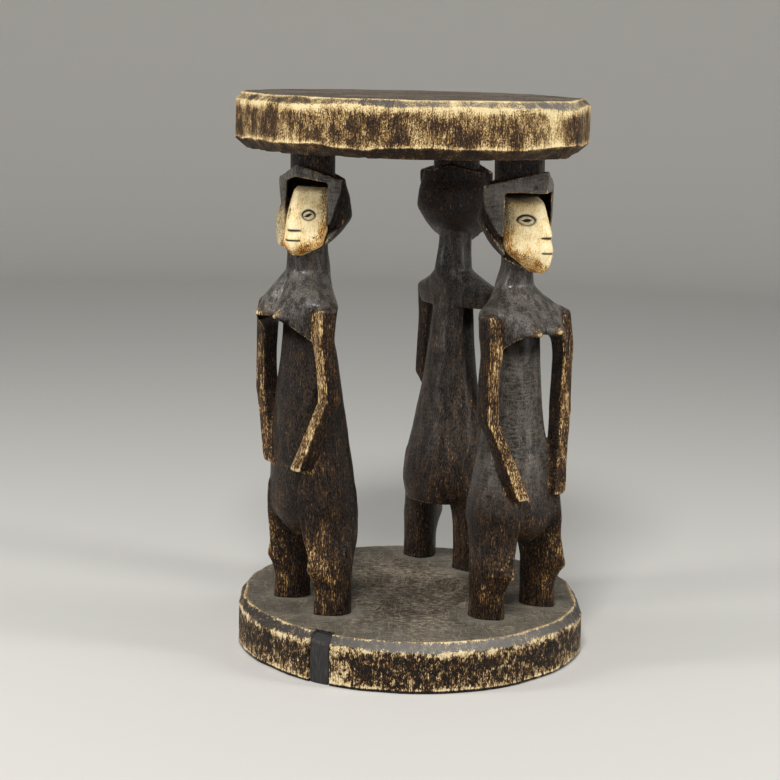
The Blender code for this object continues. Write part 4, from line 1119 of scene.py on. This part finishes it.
def faceSurface(plan):
    # two planes meet in a softened ridge, depth = ridge - (ridge - edge) * |u|; then eyes, nostrils and mouth
    # are cut in
    browZ, chinZ = heights(plan)[1:]
    nose, seed, forehead = plan["noseReach"], plan["seed"], plan["forehead"]
    eyeZ, nostrilZ, mouthZ = (between(chinZ, browZ, plan[key]) for key in ("eyes", "nostrils", "mouth"))
    v = np.linspace(0, 0.93, 250)
    u = np.sin(np.linspace(-1, 1, 190) * math.pi / 2 * 0.96) / math.sin(math.pi / 2 * 0.96)
    shape = along(plan["jaw"] + ((0.84, 1.0), (0.89, 0.95), (0.93, 0.82)), v)[0][:, None]
    upper = ramp(v[:, None], 0.35, 1.0)
    right, left = (between(plan["faceLow"][n], plan["faceHigh"][n], upper) for n in (0, 1))
    width = shape * np.where(u < 0, right, left)
    rows = [  # height, reach of the ridge, reach of the cheek edge, roundness of the ridge
        (0.0, nose * 0.80, 0.0165, 0.5), (0.07, nose * 0.955, 0.0150, 0.35),
        (plan["mouth"] - 0.03, nose * 1.035, 0.0110, 0.25),
        (plan["mouth"] + 0.03, nose * 1.045, 0.0090, 0.22),
        (plan["nostrils"] - 0.022, nose * 0.975, 0.0072, 0.2), (plan["nostrils"] + 0.010, nose, 0.0066, 0.2),
        (0.70, between(forehead, nose, 0.40), 0.0048, 0.28), (0.83, forehead, 0.0036, 0.36),
        (0.88, forehead * 0.88, 0.0026, 0.42), (0.91, forehead * 0.62, 0.0014, 0.5),
        (0.93, forehead * 0.20, 0.0010, 0.5)]
    ridge, edge, soft = (value[:, None] for value in along(rows, v))
    z = between(chinZ, browZ, v)[:, None]
    fold = (np.sqrt(u ** 2 + soft ** 2) - soft) / (np.sqrt(1 + soft ** 2) - soft)
    back = bedDepth(plan, z) - 0.0002
    edge = np.maximum(edge, -back + 0.001)
    ridge = np.maximum(ridge, edge + 0.0005)
    depth = ridge - (ridge - edge) * fold
    length = np.hypot(width, ridge - edge)

    a = (np.abs(u) - 0.50) * length / (plan["eyeLength"] / 2)  # eye: rim, lids and slanted slit
    b = (z - eyeZ) / build["eyeHeight"]
    ring = np.sqrt(np.abs(a) ** 1.9 + np.abs(b + 0.12 * a) ** 1.7)
    upperLid = 0.5 + 0.5 * np.tanh(b * 2)
    lid = np.exp(-((ring - 1) / between(0.15, 0.20, upperLid)) ** 2) * between(0.75, 1.2, upperLid)
    slant = b + plan["eyeTilt"] * a
    slit = 1 - ramp(np.abs(slant) / np.maximum(0.36 * (1 - (a / 0.62) ** 2), 0.01), 0.75, 1.1)
    nearRidge = np.abs(u) * length
    nostrilHeight = build["mouthHeight"] + 0.0003 * (1 - nearRidge / 0.010)  # deeper towards the ridge
    nostril = np.exp(-((z - nostrilZ) / nostrilHeight) ** 2) * (1 - ramp(nearRidge, 0.0065, 0.0095))
    mouth = np.exp(-((z - mouthZ) / build["mouthHeight"]) ** 2) * (1 - ramp(nearRidge, 0.0075, 0.0100))
    cut = np.maximum.reduce([lid * 0.85, slit, nostril, mouth])
    swell = build["eyeSwell"] * np.exp(-(ring / 0.8) ** 2)
    x = width * u
    spot = np.stack(np.broadcast_arrays(x, -depth, z), axis=-1).reshape(-1, 3)
    uneven = 0.0004 * drift(spot, (0.006, 0.006, 0.012), seed + 7)
    uneven = uneven + 0.00015 * drift(spot, (0.0015, 0.0015, 0.005), seed + 8)
    depth = depth - build["mouthDepth"] * cut + swell + uneven.reshape(depth.shape)

    tall, side = np.broadcast_arrays(v[:, None], np.abs(u))
    jawLine = 1 - ramp(tall - 0.30 * side ** 1.5, 0.0, 0.16)
    # darker towards the jaw and, less, towards the top under the band; greyer towards the sides, the top and
    # round the eyes
    stain = np.maximum.reduce([0.85 * jawLine, 0.40 * ramp(tall, 0.80, 0.95), 0.70 * ramp(side, 0.66, 1.0)])
    dust = np.maximum(ramp(side, 0.62, 0.98) * ramp(tall, 0.35, 0.8), 0.5 * ramp(tall, 0.80, 0.92))
    dust = np.maximum(dust, 0.55 * (1 - ramp(ring, 0.7, 1.0)))
    across = np.linspace(1, -1, 34)[1:-1]
    rear = shape * np.where(across < 0, right, left) * across
    grid = np.concatenate([
        np.stack([x, -depth, np.broadcast_to(z, x.shape)], axis=-1),
        np.stack(np.broadcast_arrays(rear, back, z), axis=-1)], axis=1)
    pad = np.zeros((len(v), len(across)))
    marks = dict(cut=cut * 1.3, stain=stain, dust=dust)
    return grid, {key: np.concatenate([values, pad], axis=1) for key, values in marks.items()}


def figureFace(name, plan):
    grid, marks = faceSurface(plan)
    mesh = solidMesh(name + "_clay_face", [setOnBase(plan, leanOver(plan, turnHead(plan, grid)))])
    for key, values in marks.items():
        note(mesh, **{key: np.concatenate([np.clip(values.ravel(), 0, 1), [0, 0]])})
    dress(name + "_clay_face", mesh, clay, name + "_face")


disc("seat_disc", seatCut, seatFinish, "seat")
disc("base_disc", baseCut, baseFinish, "base")
repairBlock()
print("discs ready")

for name, plan in figures.items():
    figureBody(name, plan)
    figureFace(name, plan)
print("figures ready")
